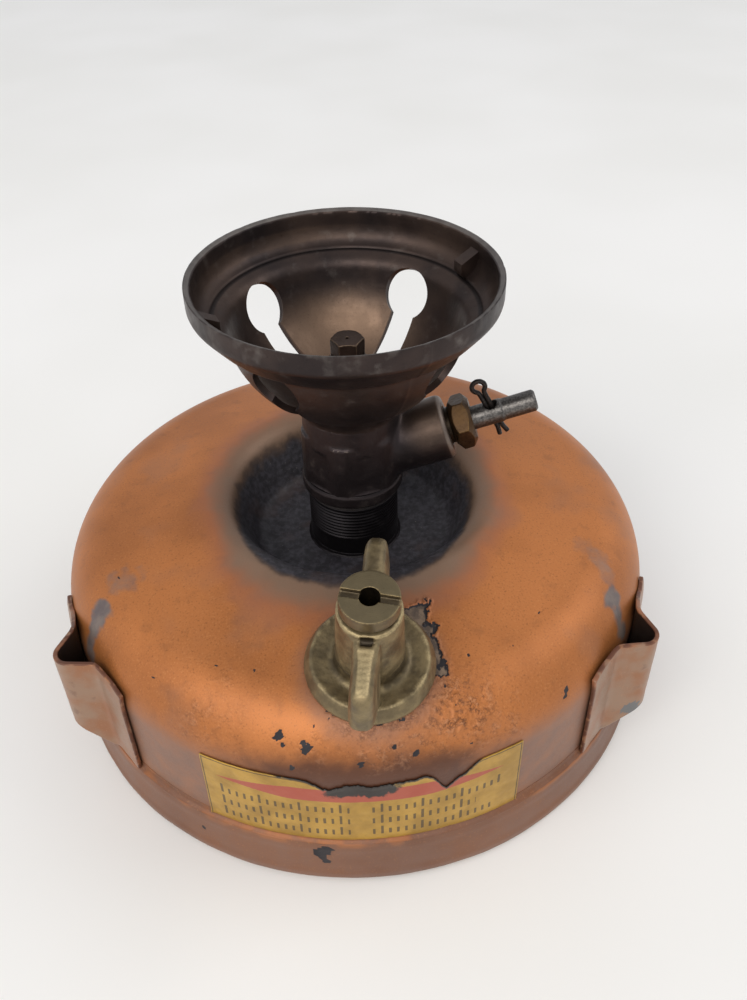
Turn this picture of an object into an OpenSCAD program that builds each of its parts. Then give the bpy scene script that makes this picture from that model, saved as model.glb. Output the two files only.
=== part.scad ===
// Single-burner petrol camping stove: a round pressed tank with a sunken priming pan,
// a wick-fed burner with a side valve, and a winged filler cap that holds a relief valve.
// Sizes are millimetres. The origin is the middle of the base on the table, +Z is up,
// the label faces -Y and the valve spindle points to +X.

/* [Tank] */
// Outside diameter of the side wall
tank_d = 150; // [140:1:180]
// Sheet thickness of the shell
shell_t = 1; // [0.6:0.1:1.5]
// Height on the side wall where the shoulder begins
shoulder_z = 35; // [30:0.5:60]
// Outside radius of the shoulder
shoulder_r = 17; // [10:0.5:20]
// Slope of the top, rising to the middle, in degrees
top_slope = 12; // [8:0.5:16]
// Diameter of the priming pan at its mouth
pan_d = 65.4; // [60:0.2:72]
// Depth of the priming pan below its mouth
pan_depth = 16.5; // [12:0.5:20]
// Lean of the pan's wall from upright, in degrees
pan_lean = 25; // [10:1:30]
// Rounding of the pan's mouth
pan_lip_r = 6; // [3:0.5:8]
// Rounding between the pan's wall and its floor
pan_corner_r = 4; // [2:0.5:6]

/* [Base] */
// Height of the skirt round the foot of the wall
skirt_h = 13.5; // [10:0.5:18]
// How far the foot of the skirt stands out past its top
skirt_flare = 1.7; // [0.2:0.1:2.5]
// Sheet thickness of the base
base_t = 1.2; // [0.8:0.1:1.6]
// Height of the tank's floor above the table
floor_z = 4; // [3:0.5:7]
// Width of the ring that the stove stands on
foot_w = 7; // [5.5:0.5:12]
// Soldered gap between the sheet parts
seam_gap = 0.1; // [0.05:0.05:0.3]

/* [Clips] */
// Sheet thickness of a clip
clip_t = 1; // [0.6:0.1:1.4]
// Width of each of a clip's two wings
clip_wing = 10; // [6:0.5:14]
// Height of a clip
clip_h = 30; // [22:1:36]
// Width of the pocket in a clip, at the wall
pocket_w = 13; // [11:0.5:18]
// Width of the pocket's outer end
pocket_tip_w = 3; // [2:0.2:5]
// Depth of the pocket in a clip
pocket_depth = 6.6; // [5:0.2:9]
// Height of the slanted cut at the lower end of the pocket
pocket_cut_h = 8; // [4:0.5:12]
// Angle of the left clip from the middle of the label, in degrees
clip_left_at = 58; // [50:0.2:75]
// Angle of the right clip from the middle of the label, in degrees
clip_right_at = 56.4; // [50:0.2:75]

/* [Label] */
// Width of the label along the wall
label_w = 73; // [40:1:80]
// Height of the label
label_h = 21; // [10:0.5:21]
// Thickness of the label
label_t = 0.25; // [0.15:0.05:0.5]

/* [Burner socket] */
// Outside diameter of the socket that stands in the pan
socket_d = 22.8; // [20:0.2:26]
// Height of the socket above the pan's floor
socket_h = 15.5; // [12:0.5:22]
// Length of the outside thread below the socket's top
socket_thread_l = 7; // [3:1:9]
// Pitch of the outside thread
thread_pitch = 1; // [0.8:0.1:1.5]
// Depth of the outside thread
thread_depth = 0.35; // [0.2:0.05:0.6]
// Diameter of the screwed spigot that carries the burner
spigot_d = 18; // [15:0.2:18.5]
// Height of that spigot
spigot_h = 4.6; // [3:0.2:5]
// Diameter of the brazed flange below the pan
flange_d = 31; // [27:0.5:38]
// Thickness of that flange
flange_t = 1.5; // [1:0.1:3]
// Outside diameter of the feed pipe
pipe_d = 10; // [7:0.2:11]
// Wall of the feed pipe
pipe_t = 0.8; // [0.5:0.1:1.2]
// Space below the feed pipe
pipe_lift = 2.5; // [1.5:0.5:8]

/* [Burner body] */
// Thickness of the gasket under the burner
gasket_t = 1.2; // [0.6:0.1:2]
// Diameter of the lip at the foot of the burner
lip_d = 25.2; // [24.4:0.1:28]
// Height of that lip
lip_h = 4.2; // [3:0.1:5]
// Width of the spanner faces
hex_af = 23; // [21.6:0.2:24]
// Diameter across the rounded corners of the spanner faces
hex_corner_d = 24.8; // [24.2:0.1:26]
// Height of the spanner faces
hex_h = 13.5; // [11:0.5:16]
// Direction of one corner of the spanner faces, in degrees
hex_turn = -103; // [-120:1:-60]
// Diameter of the round stem above the spanner faces
stem_d = 23.6; // [21:0.2:26]
// Height of the round stem
stem_h = 5.2; // [3:0.2:9]
// Diameter of the boss that holds the jet
boss_d = 12.8; // [11:0.2:15]
// Height of the boss above the stem
boss_h = 12.5; // [10:0.5:14]

/* [Bell] */
// Outside diameter of the rim
bell_d = 70; // [66:0.5:80]
// Wall of the bell
bell_t = 1.5; // [1:0.1:2]
// Outside diameter of the bowl
bowl_d = 56; // [50:0.5:58]
// Depth of the bowl below its widest level
bowl_depth = 25.5; // [20:0.5:34]
// Height of the rim above the bowl's widest level
rim_rise = 7.7; // [6.5:0.1:10]
// Height of the upright band inside the rim
band_h = 4.5; // [3.5:0.1:5]
// Width of the cove below that band
cove_w = 3.5; // [2:0.1:4]
// Height of the cove
cove_h = 4.4; // [3:0.1:5]
// Diameter of a keyhole's round head
key_head_d = 10.5; // [8:0.1:12]
// Width of a keyhole's slot
key_slot_w = 6.4; // [4:0.1:7]
// Depth of a keyhole's head below the bowl's widest level
key_drop = 7; // [6:0.2:9]
// Distance from the middle to the inner end of a keyhole
key_end = 15; // [13.5:0.5:18]
// Number of keyholes
key_count = 4; // [3:1:5]
// Direction of the first keyhole, in degrees
key_turn = 52.5; // [0:0.5:90]
// Width of a lug inside the rim
lug_w = 5; // [3:0.5:9]
// Height of a lug's outer end above the foot of the band
lug_h = 2.8; // [1:0.2:3.4]
// Height of a lug's inner end above the bowl's edge
lug_nose_h = 1.6; // [0.8:0.1:3]
// Direction of the first lug, in degrees
lug_turn = 25; // [0:1:90]

/* [Jet] */
// Width of the jet's spanner faces
jet_af = 7; // [6:0.1:8]
// Height of the jet's spanner faces
jet_hex_h = 4.2; // [3:0.2:6]
// Height of the collar below them
jet_collar_h = 1.5; // [1:0.1:2.5]
// Diameter of the jet's thread
jet_thread_d = 5; // [4:0.1:5.6]
// Length of the jet's thread
jet_thread_l = 6; // [4:0.5:7]
// Diameter of the jet's gas hole
jet_hole_d = 0.8; // [0.4:0.1:1.2]

/* [Valve] */
// Diameter of the valve arm
arm_d = 16; // [14.5:0.2:17]
// Length of the valve arm from the burner's axis
arm_l = 23.9; // [23:0.1:28]
// Upward slope of the valve arm, in degrees
arm_rise = 17.5; // [14:0.5:24]
// Height of the arm's axis above the burner's foot, at the burner's axis
arm_up = 7.9; // [7.6:0.1:9]
// Diameter of the valve spindle
spindle_d = 5.8; // [5:0.1:6.2]
// Length of the spindle outside the gland nut
spindle_out = 15.3; // [12:0.5:22]
// Diameter of the spindle's outer end, which takes the valve key
key_end_d = 5.4; // [4.8:0.1:6.2]
// Chamfer at the spindle's outer end
spindle_chamfer = 0.6; // [0.2:0.1:1]
// Diameter of the valve seat's hole
seat_d = 2.4; // [1.6:0.1:3]
// Distance of the valve seat from the burner's axis
seat_at = 6; // [5:0.2:7]
// Length of the valve chamber, seat included
chamber_l = 6; // [5:0.2:7]
// Length of the spindle's guide in the arm
guide_l = 4; // [3:0.2:4.5]
// Diameter of the packing box in the arm
box_d = 9.2; // [8.4:0.1:11]
// Length of the gland packing
packing_l = 3.4; // [2.4:0.1:4]
// Thickness of the washer behind the packing
washer_t = 1; // [0.6:0.1:1.4]
// Width of the gland nut
nut_af = 12; // [11.5:0.1:14]
// Height of the gland nut
nut_h = 6.5; // [5:0.1:8]
// Thread of the gland nut left in view
nut_stand = 1.6; // [0.8:0.1:2.5]

/* [Cotter pin] */
// Distance of the cotter pin from the gland nut
cotter_at = 4.4; // [4:0.1:7]
// Diameter of the pin's wire
cotter_wire = 1; // [0.8:0.05:1.1]
// Outside diameter of the eye
cotter_eye_d = 4.2; // [3.6:0.1:5]
// Distance from the spindle's axis to the middle of the eye
cotter_up = 6.4; // [6:0.1:8]
// Length of the legs below the spindle's axis
cotter_down = 7.6; // [6.5:0.1:10]
// Bent length at the end of each leg
cotter_bend = 2.2; // [1.5:0.1:3]
// Spread of the bent ends, in degrees
cotter_spread = 16; // [5:1:35]
// Lean of the pin in its hole, in degrees
cotter_lean = 10; // [0:1:12]
// Diameter of the hole for the pin
cotter_hole_d = 3.4; // [3.2:0.1:3.6]

/* [Filler] */
// Distance of the filler's axis in from the side wall
filler_at = 17.4; // [15:0.2:21]
// Direction of the filler, in degrees
filler_turn = -88; // [-110:1:-70]
// Outside diameter of the filler neck
neck_d = 23; // [20:0.5:25]
// Length of the filler neck below the top
neck_l = 9; // [7:0.5:12]
// Height of the neck above the top
neck_up = 0.6; // [0.4:0.1:1.5]
// Diameter of the cap's screwed plug
plug_d = 15.8; // [14:0.1:17]
// Length of the screwed plug
plug_l = 6.6; // [6:0.1:8]
// Diameter of the cap's flange
cap_d = 28.2; // [26:0.2:32]
// Thickness of the cap's flange
cap_flange_h = 4; // [3.5:0.1:6]
// Diameter of the cap's stalk at its foot
stalk_d = 15; // [14.2:0.1:17]
// Diameter of the cap's stalk at its top
stalk_top_d = 13.4; // [12.8:0.1:14]
// Height of the stalk above the seal
stalk_h = 21.3; // [20.5:0.1:26]
// Thickness of the filler seal
seal_t = 1.4; // [1:0.1:2]
// Distance from the cap's axis to the outer end of a wing
wing_reach = 20; // [17:0.5:23]
// Height of a wing's top below the stalk's top
wing_below = 1.4; // [0.6:0.1:4]
// Height of the outer end of a wing
wing_end_h = 11.5; // [8:0.5:14]
// Thickness of a wing
wing_t = 5.4; // [3.5:0.1:6.5]
// Direction of the wings with the cap tight, in degrees from straight outwards
wing_turn = -9.4; // [-90:0.2:90]

/* [Relief valve] */
// Diameter of the relief screw's head
head_d = 12.3; // [11:0.1:13]
// Height of that head
head_h = 3.4; // [2.4:0.1:4.5]
// Space between the head and the stalk
head_gap = 0.9; // [0.5:0.1:2]
// Diameter of the relief screw's thread
screw_d = 8.6; // [8.2:0.1:9.2]
// Length of the relief screw's thread in the stalk
screw_l = 7; // [4:0.5:9]
// Width of the driver slot
slot_w = 1.8; // [1:0.1:2.5]
// Depth of the driver slot
slot_deep = 1; // [0.5:0.1:2]
// Direction of the driver slot, in degrees from straight outwards
slot_turn = 75; // [0:1:180]
// Diameter of the vent through the relief screw
vent_d = 4.2; // [3.6:0.1:4.6]
// Diameter of the relief chamber
relief_d = 7.6; // [7:0.1:8]
// Diameter of the gas inlet below the relief valve
inlet_d = 3; // [2:0.1:4]
// Thickness of the plug's end below the relief seat
seat_t = 2.4; // [1.5:0.1:3.5]
// Thickness of the relief seal
relief_seal_t = 1.4; // [0.8:0.1:2]
// Thickness of the relief pin's head
pin_head_t = 1.6; // [1.2:0.1:2.5]
// Diameter of the relief pin's stem
pin_d = 2.6; // [2:0.1:2.8]
// Length of the stem inside the vent
pin_in_vent = 3; // [1:0.5:6]
// Wire of the relief spring
spring_wire = 0.7; // [0.4:0.05:0.8]
// Turns of the relief spring
spring_turns = 8; // [5:1:10]

/* [Fits] */
// Gap round a shaft that turns or slides in its hole
run_gap = 0.08; // [0.03:0.01:0.1]
// Gap between flat faces that part or turn
face_gap = 0.1; // [0.05:0.05:0.3]
// Gap round parts that are screwed or brazed in place
fix_gap = 0.05; // [0.02:0.01:0.1]
// Gap round the loose wick
wick_gap = 0.3; // [0.1:0.05:0.6]

/* [Hidden] */
$fn = 96;
// Largest turn between two points of a drawn arc, in degrees
arc_step = 6;
// Overshoot of a cutting tool past the face that it leaves
past = 1;

tank_r = tank_d / 2;
// Sharp corner of the wall and the sloping top, before the shoulder is rounded
corner_z = shoulder_z + shoulder_r * tan((90 - top_slope) / 2);
function top_z(r) = corner_z + (tank_r - r) * tan(top_slope);
pan_r = pan_d / 2;
mouth_z = top_z(pan_r);
pan_z = mouth_z - pan_depth;
pan_floor_r = pan_r - pan_depth * tan(pan_lean);
shell_foot_z = base_t + seam_gap;

skirt_top_r = tank_r + seam_gap + base_t;
foot_r = skirt_top_r + skirt_flare;
foot_in_r = foot_r - foot_w;
// Rounding of the folds in the base
fold_r = 1.8;
// Width of the slope between the foot and the tank's floor
floor_slope_w = 2.4;

clip_z = skirt_h + seam_gap;
clip_in_r = tank_r + seam_gap;
pocket_tip_r = clip_in_r + pocket_depth;
// Bends of a clip's sheet at the wall and at the pocket's outer end
clip_bend_r = 2.2;
clip_tip_r = 1.8;
// Largest turn between two points of a clip's wing, in degrees
wing_step = 2;

socket_r = socket_d / 2;
socket_top_z = pan_z + socket_h;
spigot_top_z = socket_top_z + spigot_h;
pipe_r = pipe_d / 2;
pipe_foot_z = floor_z + base_t + pipe_lift;
flange_top_z = pan_z - shell_t - seam_gap;

burner_z = socket_top_z + gasket_t;
hex_z = burner_z + lip_h;
stem_z = hex_z + hex_h;
bell_z = stem_z + stem_h;
boss_z = bell_z + boss_h;
// Straight foot of the boss above the bell's floor
boss_foot_h = 2;
// Width of the boss's top round the jet's collar
boss_edge = 0.9;
jet_corner_d = jet_af / cos(30);
boss_top_r = jet_corner_d / 2 + boss_edge;
// Rounding of the lip at the foot of the burner
lip_round = 0.42 * lip_h;

bowl_z = bell_z + bell_t + bowl_depth;
rim_z = bowl_z + rim_rise;
rim_in_r = bell_d / 2 - bell_t;
bowl_in_r = bowl_d / 2 - bell_t;
bell_hole_r = boss_d / 2 + fix_gap;
bell_foot_r = stem_d / 2 - bell_t;
step_r = rim_in_r - cove_w;
step_z = rim_z - band_h - cove_h;
// Depth of the bowl's edge below the step inside the rim
bowl_lip = 1.8;
// Angles of the bowl's curve, from level at its foot and at its edge
bowl_from = acos((bell_foot_r + bell_t) / bowl_in_r);
bowl_to = asin((bowl_z - step_z + bowl_lip) / bowl_depth);
key_lean = acos(key_end / bowl_in_r);
key_head_at = [bowl_in_r * sqrt(1 - pow(key_drop / bowl_depth, 2)), bowl_z - key_drop];
key_end_at = [key_end, bowl_z - bowl_depth * sin(key_lean)];

arm_z = burner_z + arm_up;
arm_r = arm_d / 2;
spindle_r = spindle_d / 2;
guide_r = spindle_r + run_gap;
// Space round the spindle in the valve chamber
chamber_gap = 0.5;
chamber_r = spindle_r + chamber_gap;
seat_r = seat_d / 2;
// Step from the seat's hole in to the spindle's flat tip
tip_step = 0.3;
tip_r = seat_r - tip_step;
chamber_end = seat_at + chamber_l;
guide_end = chamber_end + guide_l;
packing_from = guide_end + washer_t;
packing_to = packing_from + packing_l;
nut_from = arm_l + nut_stand;
nut_to = nut_from + nut_h;
spindle_end = nut_to + spindle_out;
// The seat and the spindle's tip both taper at 45 degrees
tip_at = seat_at - tip_step + face_gap * sqrt(2);
cotter_s = nut_to + cotter_at;
// Space between the cotter pin's hole and the spindle's outer end piece
key_clear = 0.6;
key_from = cotter_s + cotter_hole_d / 2 + key_clear;
// Growth of the cotter pin's wire where it is bent
cotter_swell = 1.06;
// Facets of the cotter pin's wire
cotter_fn = 24;
jet_z = boss_z + jet_collar_h;
// Bore of the feed from the valve chamber to the jet
feed_r = 1.2;

filler_axis_r = tank_r - filler_at;
filler_z = top_z(filler_axis_r);
plug_r = plug_d / 2;
neck_r = neck_d / 2;
// Step from the neck's edge in to the seal
seal_in = 0.6;
seal_r = neck_r - seal_in;
seal_z = neck_up + face_gap;
cap_under = seal_z + seal_t + face_gap;
flange_bottom = neck_up + face_gap;
flange_top = flange_bottom + cap_flange_h;
// Depth that the stalk and the wings sink into the flange
cap_sink = 1;
stalk_foot = flange_top - cap_sink;
plug_bottom = cap_under - plug_l;
stalk_top = cap_under + stalk_h;
wing_top = stalk_top - wing_below;
wing_low = wing_top - wing_end_h;
seat_z = plug_bottom + seat_t;
relief_r = relief_d / 2;
relief_seal_z = seat_z + face_gap;
pin_head_z = relief_seal_z + relief_seal_t;
pin_head_top = pin_head_z + pin_head_t;
screw_bottom = stalk_top - screw_l;
pin_top = screw_bottom + pin_in_vent;
spring_r = (relief_r + pin_d / 2) / 2;

function unit(v) = v / norm(v);
function left_of(v) = [-v[1], v[0]];
function polar(r, a) = [r * cos(a), r * sin(a)];
function reversed(list) = [for (i = [len(list) - 1:-1:0]) list[i]];

// Points of the arc of radius r that rounds the corner q between p and s
function corner_arc(p, q, s, r) =
    let (u = unit(p - q), v = unit(s - q))
    let (half = acos(u * v) / 2, sweep = 180 - 2 * half)
    let (c = q + unit(u + v) * r / sin(half))
    let (from = q + u * r / tan(half) - c, to = q + v * r / tan(half) - c)
    let (n = ceil(sweep / arc_step))
    [for (i = [0:n]) c + (from * sin(sweep * (1 - i / n)) + to * sin(sweep * i / n)) / sin(sweep)];

// A path whose corners are rounded by the radii, where 0 keeps a corner sharp
function rounded(path, radii) = [
    for (i = [0:len(path) - 1])
        each radii[i] == 0 ? [path[i]] : corner_arc(path[i - 1], path[i], path[i + 1], radii[i])
];

// The path moved sideways by d, to its left where d is above 0
function beside(path, d) =
    let (last = len(path) - 1)
    [for (i = [0:last])
        let (into = left_of(unit(path[max(i, 1)] - path[max(i, 1) - 1])))
        let (out = left_of(unit(path[min(i, last - 1) + 1] - path[min(i, last - 1)])))
        let (n = unit(into + out))
        path[i] + n * d / (n * into)];

// Section of a bent sheet of thickness t on the left of a path
module sheet(path, t) {
    polygon(concat(path, reversed(beside(path, t))));
}

// A turned piece from the outline of one side, as radius and height
module turned(outline) {
    rotate_extrude() polygon(outline);
}

// A round hole or rod from height z0 to height z1
module rod(r, z0, z1) {
    translate([0, 0, z0]) cylinder(r = r, h = z1 - z0);
}

// A ring from height z0 to height z1
module ring(r_in, r_out, z0, z1) {
    difference() {
        rod(r_out, z0, z1);
        rod(r_in, z0 - past, z1 + past);
    }
}

// A hexagonal bar with chamfered corners, from height z0 to height z1
module hex_bar(across, corner_d, z0, z1, chamfer) {
    intersection() {
        translate([0, 0, z0]) cylinder(d = across / cos(30), h = z1 - z0, $fn = 6);
        turned([
            [0, z0], [corner_d / 2 - chamfer * 2, z0], [corner_d / 2, z0 + chamfer],
            [corner_d / 2, z1 - chamfer], [corner_d / 2 - chamfer * 2, z1], [0, z1]
        ]);
    }
}

// Puts a piece in the valve arm's frame, with +Z outwards along the arm
module at_arm() {
    translate([0, 0, arm_z]) rotate([0, 90 - arm_rise, 0]) children();
}

// Puts a piece in the filler's frame, with +Z square to the tank's top and +X outwards
module at_filler() {
    rotate([0, 0, filler_turn])
        translate([filler_axis_r, 0, filler_z])
            rotate([0, top_slope, 0])
                children();
}

module tank_shell() {
    outside = rounded(
        [[tank_r, shell_foot_z], [tank_r, corner_z], [pan_r, mouth_z], [pan_floor_r, pan_z],
            [socket_r + fix_gap, pan_z]],
        [0, shoulder_r, pan_lip_r, pan_corner_r, 0]
    );
    color("#c2682e") difference() {
        rotate_extrude() sheet(outside, shell_t);
        at_filler() rod(neck_r + fix_gap, -neck_l - past, neck_l);
    }
}

module tank_base() {
    under = rounded(
        [[skirt_top_r, skirt_h], [foot_r, 0], [foot_in_r, 0],
            [foot_in_r - floor_slope_w, floor_z], [0, floor_z]],
        [0, fold_r, fold_r, fold_r, 0]
    );
    color("#a9572a") rotate_extrude() sheet(under, -base_t);
}

// Angle of a length along the wall, in degrees
function wall_angle(s) = s / tank_r * 180 / PI;

// Points along the inner face of a clip's wing, between two angles
function wing_arc(from, to) =
    let (n = ceil(abs(to - from) / wing_step))
    [for (i = [0:n]) polar(clip_in_r, from + (to - from) * i / n)];

// A clip is a strip of sheet, bent out into a pocket between its wings
module clip(turn) {
    foot = wall_angle(pocket_w / 2);
    end = wall_angle(pocket_w / 2 + clip_wing);
    low_wing = wing_arc(-end, -foot);
    tip = [[pocket_tip_r, -pocket_tip_w / 2], [pocket_tip_r, pocket_tip_w / 2]];
    flat = [for (i = [1:len(low_wing) - 1]) 0];
    face = rounded(
        concat(low_wing, tip, wing_arc(foot, end)),
        concat(flat, [clip_bend_r, clip_tip_r, clip_tip_r, clip_bend_r], flat)
    );
    // The slanted cut starts just outside the wings
    cut_from = clip_in_r + clip_t + past / 2;
    cut_to = pocket_tip_r + clip_t + past;
    color("#b8632f") rotate([0, 0, turn]) difference() {
        translate([0, 0, clip_z]) linear_extrude(clip_h) sheet(face, -clip_t);
        rotate([90, 0, 0])
            translate([0, clip_z, -pocket_w])
                linear_extrude(2 * pocket_w)
                    polygon([[cut_from, 0], [cut_from, -past], [cut_to, -past], [cut_to, pocket_cut_h]]);
    }
}

module clip_left() {
    clip(-90 - clip_left_at);
}

module clip_right() {
    clip(-90 + clip_right_at);
}

module clip_rear() {
    clip(90);
}

module label_plate() {
    arc = wall_angle(label_w);
    face = tank_r + seam_gap;
    color("#d9a93a") rotate([0, 0, -90 - arc / 2]) rotate_extrude(angle = arc)
        translate([face, skirt_h + seam_gap]) square([label_t, label_h]);
}

module filler_neck() {
    color("#8f7a3c") at_filler() ring(plug_r + run_gap, neck_r, -neck_l, neck_up);
}

module burner_socket() {
    grooves = floor(socket_thread_l / thread_pitch);
    // Space between the thread's top and the socket's top face
    thread_below = 0.8;
    // Half the width of a groove at the thread's crest
    groove_half = 0.45 * thread_pitch;
    color("#3a3030") difference() {
        union() {
            rod(socket_r, flange_top_z - flange_t, socket_top_z);
            rod(flange_d / 2, flange_top_z - flange_t, flange_top_z);
            rod(spigot_d / 2, socket_top_z, spigot_top_z);
        }
        rod(pipe_r + fix_gap, flange_top_z - flange_t - past, spigot_top_z + past);
        for (i = [0:grooves - 1])
            let (z = socket_top_z - thread_below - (i + 0.5) * thread_pitch)
            turned([
                [socket_r - thread_depth, z],
                [socket_r + thread_depth, z - 2 * groove_half],
                [socket_r + thread_depth, z + 2 * groove_half]
            ]);
    }
}

module feed_pipe() {
    color("#a08045") ring(pipe_r - pipe_t, pipe_r, pipe_foot_z, spigot_top_z);
}

module wick() {
    // Length of wick that hangs out of the pipe
    tail = pipe_lift / 2;
    color("#d8cfb8") rod(pipe_r - pipe_t - wick_gap, pipe_foot_z - tail, spigot_top_z);
}

module burner_gasket() {
    color("#6b5a48") ring(spigot_d / 2 + fix_gap, socket_r, socket_top_z, burner_z);
}

// Passages of the burner: the wick's room, the valve's bores and the way up to the jet
module burner_bores() {
    wick_room_z = spigot_top_z + face_gap;
    rod(spigot_d / 2 + fix_gap, burner_z - past, wick_room_z);
    rod(seat_r, burner_z, arm_z);
    at_arm() {
        rod(seat_r, -seat_r, seat_at);
        turned([
            [0, seat_at], [seat_r, seat_at], [chamber_r, seat_at + chamber_r - seat_r],
            [chamber_r, chamber_end], [0, chamber_end]
        ]);
        rod(guide_r, chamber_end - past, guide_end + past);
        rod(box_d / 2, guide_end, arm_l + past);
    }
    jet_foot_z = boss_z - jet_thread_l - face_gap;
    rod(jet_thread_d / 2 + fix_gap, jet_foot_z, boss_z + past);
    // The feed runs from under the jet down into the valve chamber
    s = seat_at + chamber_l * 0.7;
    down = [s * cos(arm_rise), arm_z + s * sin(arm_rise) - jet_foot_z];
    translate([0, 0, jet_foot_z])
        rotate([0, atan2(down[0], down[1]), 0])
            cylinder(r = feed_r, h = norm(down));
}

module burner_body() {
    lip_r = lip_d / 2;
    lip = rounded(
        [[0, burner_z], [lip_r, burner_z], [lip_r, hex_z], [0, hex_z]],
        [0, lip_round, lip_round, 0]
    );
    boss_round = 1;
    boss = rounded(
        [[0, stem_z], [boss_d / 2, stem_z], [boss_d / 2, bell_z + bell_t + boss_foot_h],
            [boss_top_r, boss_z], [0, boss_z]],
        [0, 0, boss_round, 0, 0]
    );
    arm_edge = 1.5;
    hex_foot_z = burner_z + lip_h / 2;
    arm = rounded([[0, 0], [arm_r, 0], [arm_r, arm_l], [0, arm_l]], [0, 0, arm_edge, 0]);
    color("#46342b") difference() {
        union() {
            turned(lip);
            intersection() {
                rotate([0, 0, hex_turn])
                    translate([0, 0, hex_foot_z])
                        cylinder(d = hex_af / cos(30), h = stem_z - hex_foot_z, $fn = 6);
                rod(hex_corner_d / 2, hex_foot_z, stem_z);
            }
            rod(stem_d / 2, stem_z - stem_h / 2, bell_z);
            turned(boss);
            at_arm() turned(arm);
        }
        burner_bores();
    }
}

// A keyhole's outline on the line from its round head down to its inner end
module keyhole_outline() {
    run = norm(key_head_at - key_end_at);
    circle(d = key_head_d);
    translate([0, -key_slot_w / 2]) square([run, key_slot_w]);
    translate([run, 0]) circle(d = key_slot_w);
}

module burner_bell() {
    bowl_steps = 16;
    // Roundings at the edge of the bell's floor and at the top of the cove
    floor_round = 1;
    cove_round = 2;
    bowl = [
        for (i = [0:bowl_steps])
            let (a = bowl_from + (bowl_to - bowl_from) * i / bowl_steps)
            [bowl_in_r * cos(a), bowl_z - bowl_depth * sin(a)]
    ];
    inside = rounded(
        concat(
            [[bell_hole_r, bell_z + bell_t], [bell_foot_r, bell_z + bell_t]], bowl,
            [[step_r, step_z], [rim_in_r, rim_z - band_h], [rim_in_r, rim_z]]
        ),
        concat([0, floor_round], [for (p = bowl) 0], [0, cove_round, 0])
    );
    slope = key_head_at - key_end_at;
    // Depth of the cut on each side of the bowl's wall
    key_cut = 7;
    // Step from the cove's edge out to a lug
    lug_in = 0.4;
    lug_r = step_r + lug_in;
    lug_top = rim_z - band_h + lug_h;
    lug_side = [
        [lug_r, step_z], [bell_d / 2, step_z], [bell_d / 2, lug_top], [rim_in_r, lug_top],
        [lug_r, step_z + lug_nose_h]
    ];
    // The lugs reach the middle of the bell's wall
    middle = beside(inside, -bell_t / 2);
    color("#4a382e") difference() {
        union() {
            rotate_extrude() sheet(inside, -bell_t);
            for (i = [0:1])
                rotate([0, 0, lug_turn + 180 * i]) intersection() {
                    rotate([90, 0, 0])
                        translate([0, 0, -lug_w / 2])
                            linear_extrude(lug_w) polygon(lug_side);
                    turned(concat(middle, [[0, rim_z], [0, bell_z]]));
                }
        }
        for (i = [0:key_count - 1])
            rotate([0, 0, key_turn + 360 * i / key_count])
                translate([key_head_at[0], 0, key_head_at[1]])
                    rotate([0, 180 - atan2(slope[1], slope[0]), 0])
                        translate([0, 0, -key_cut]) linear_extrude(2 * key_cut) keyhole_outline();
    }
}

module jet() {
    chamfer = 0.3;
    color("#5a3c30") difference() {
        union() {
            rod(jet_thread_d / 2, boss_z - jet_thread_l, boss_z);
            rod(jet_corner_d / 2, boss_z, jet_z);
            hex_bar(jet_af, jet_corner_d, jet_z, jet_z + jet_hex_h, chamfer);
        }
        rod(jet_hole_d / 2, boss_z - past, jet_z + jet_hex_h + past);
        rod(jet_hole_d, boss_z - jet_thread_l - past, jet_z);
    }
}

module gland_washer() {
    color("#9a7b3e") at_arm() ring(guide_r, box_d / 2 - fix_gap, guide_end, packing_from);
}

module gland_packing() {
    color("#2b2b2b") at_arm() ring(guide_r, box_d / 2 - fix_gap, packing_from, packing_to);
}

module gland_nut() {
    nut_d = nut_af / cos(30);
    chamfer = 0.7;
    color("#8a6630") at_arm() difference() {
        union() {
            rod(box_d / 2 - fix_gap, packing_to, nut_from);
            hex_bar(nut_af, nut_d, nut_from, nut_to, chamfer);
        }
        rod(guide_r, packing_to - past, nut_to + past);
    }
}

module valve_spindle() {
    key_r = key_end_d / 2;
    outline = [
        [0, tip_at], [tip_r, tip_at], [spindle_r, tip_at + spindle_r - tip_r],
        [spindle_r, key_from], [key_r, key_from], [key_r, spindle_end - spindle_chamfer],
        [key_r - spindle_chamfer, spindle_end], [0, spindle_end]
    ];
    color("#6e6a66") at_arm() difference() {
        turned(outline);
        translate([-spindle_d, 0, cotter_s])
            rotate([0, 90, 0])
                cylinder(d = cotter_hole_d, h = 2 * spindle_d);
    }
}

// One leg of the cotter pin, on the side given by 1 or -1
module cotter_leg(side) {
    wire_r = cotter_wire / 2;
    // The legs are pressed together a little, and sink most of a wire into the eye
    leg_x = side * 0.9 * wire_r;
    eye_sink = 0.8 * cotter_wire;
    bend_z = cotter_bend - cotter_down;
    leg_l = cotter_up - bend_z - cotter_eye_d / 2 + eye_sink;
    translate([leg_x, 0, bend_z]) {
        cylinder(r = wire_r, h = leg_l, $fn = cotter_fn);
        sphere(r = wire_r * cotter_swell, $fn = cotter_fn);
        rotate([0, 180 - side * cotter_spread, 0]) cylinder(r = wire_r, h = cotter_bend, $fn = cotter_fn);
    }
}

module cotter_pin() {
    eye_r = (cotter_eye_d - cotter_wire) / 2;
    color("#1f1d1c") at_arm() translate([0, 0, cotter_s]) rotate([0, -90 - cotter_lean, 0]) {
        translate([0, 0, cotter_up]) rotate([90, 0, 0]) rotate_extrude($fn = 2 * cotter_fn)
            translate([eye_r, 0]) circle(d = cotter_wire * cotter_swell, $fn = cotter_fn);
        for (side = [-1, 1])
            cotter_leg(side);
    }
}

module filler_seal() {
    color("#2a2522") at_filler() ring(plug_r + face_gap, seal_r, seal_z, seal_z + seal_t);
}

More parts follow.
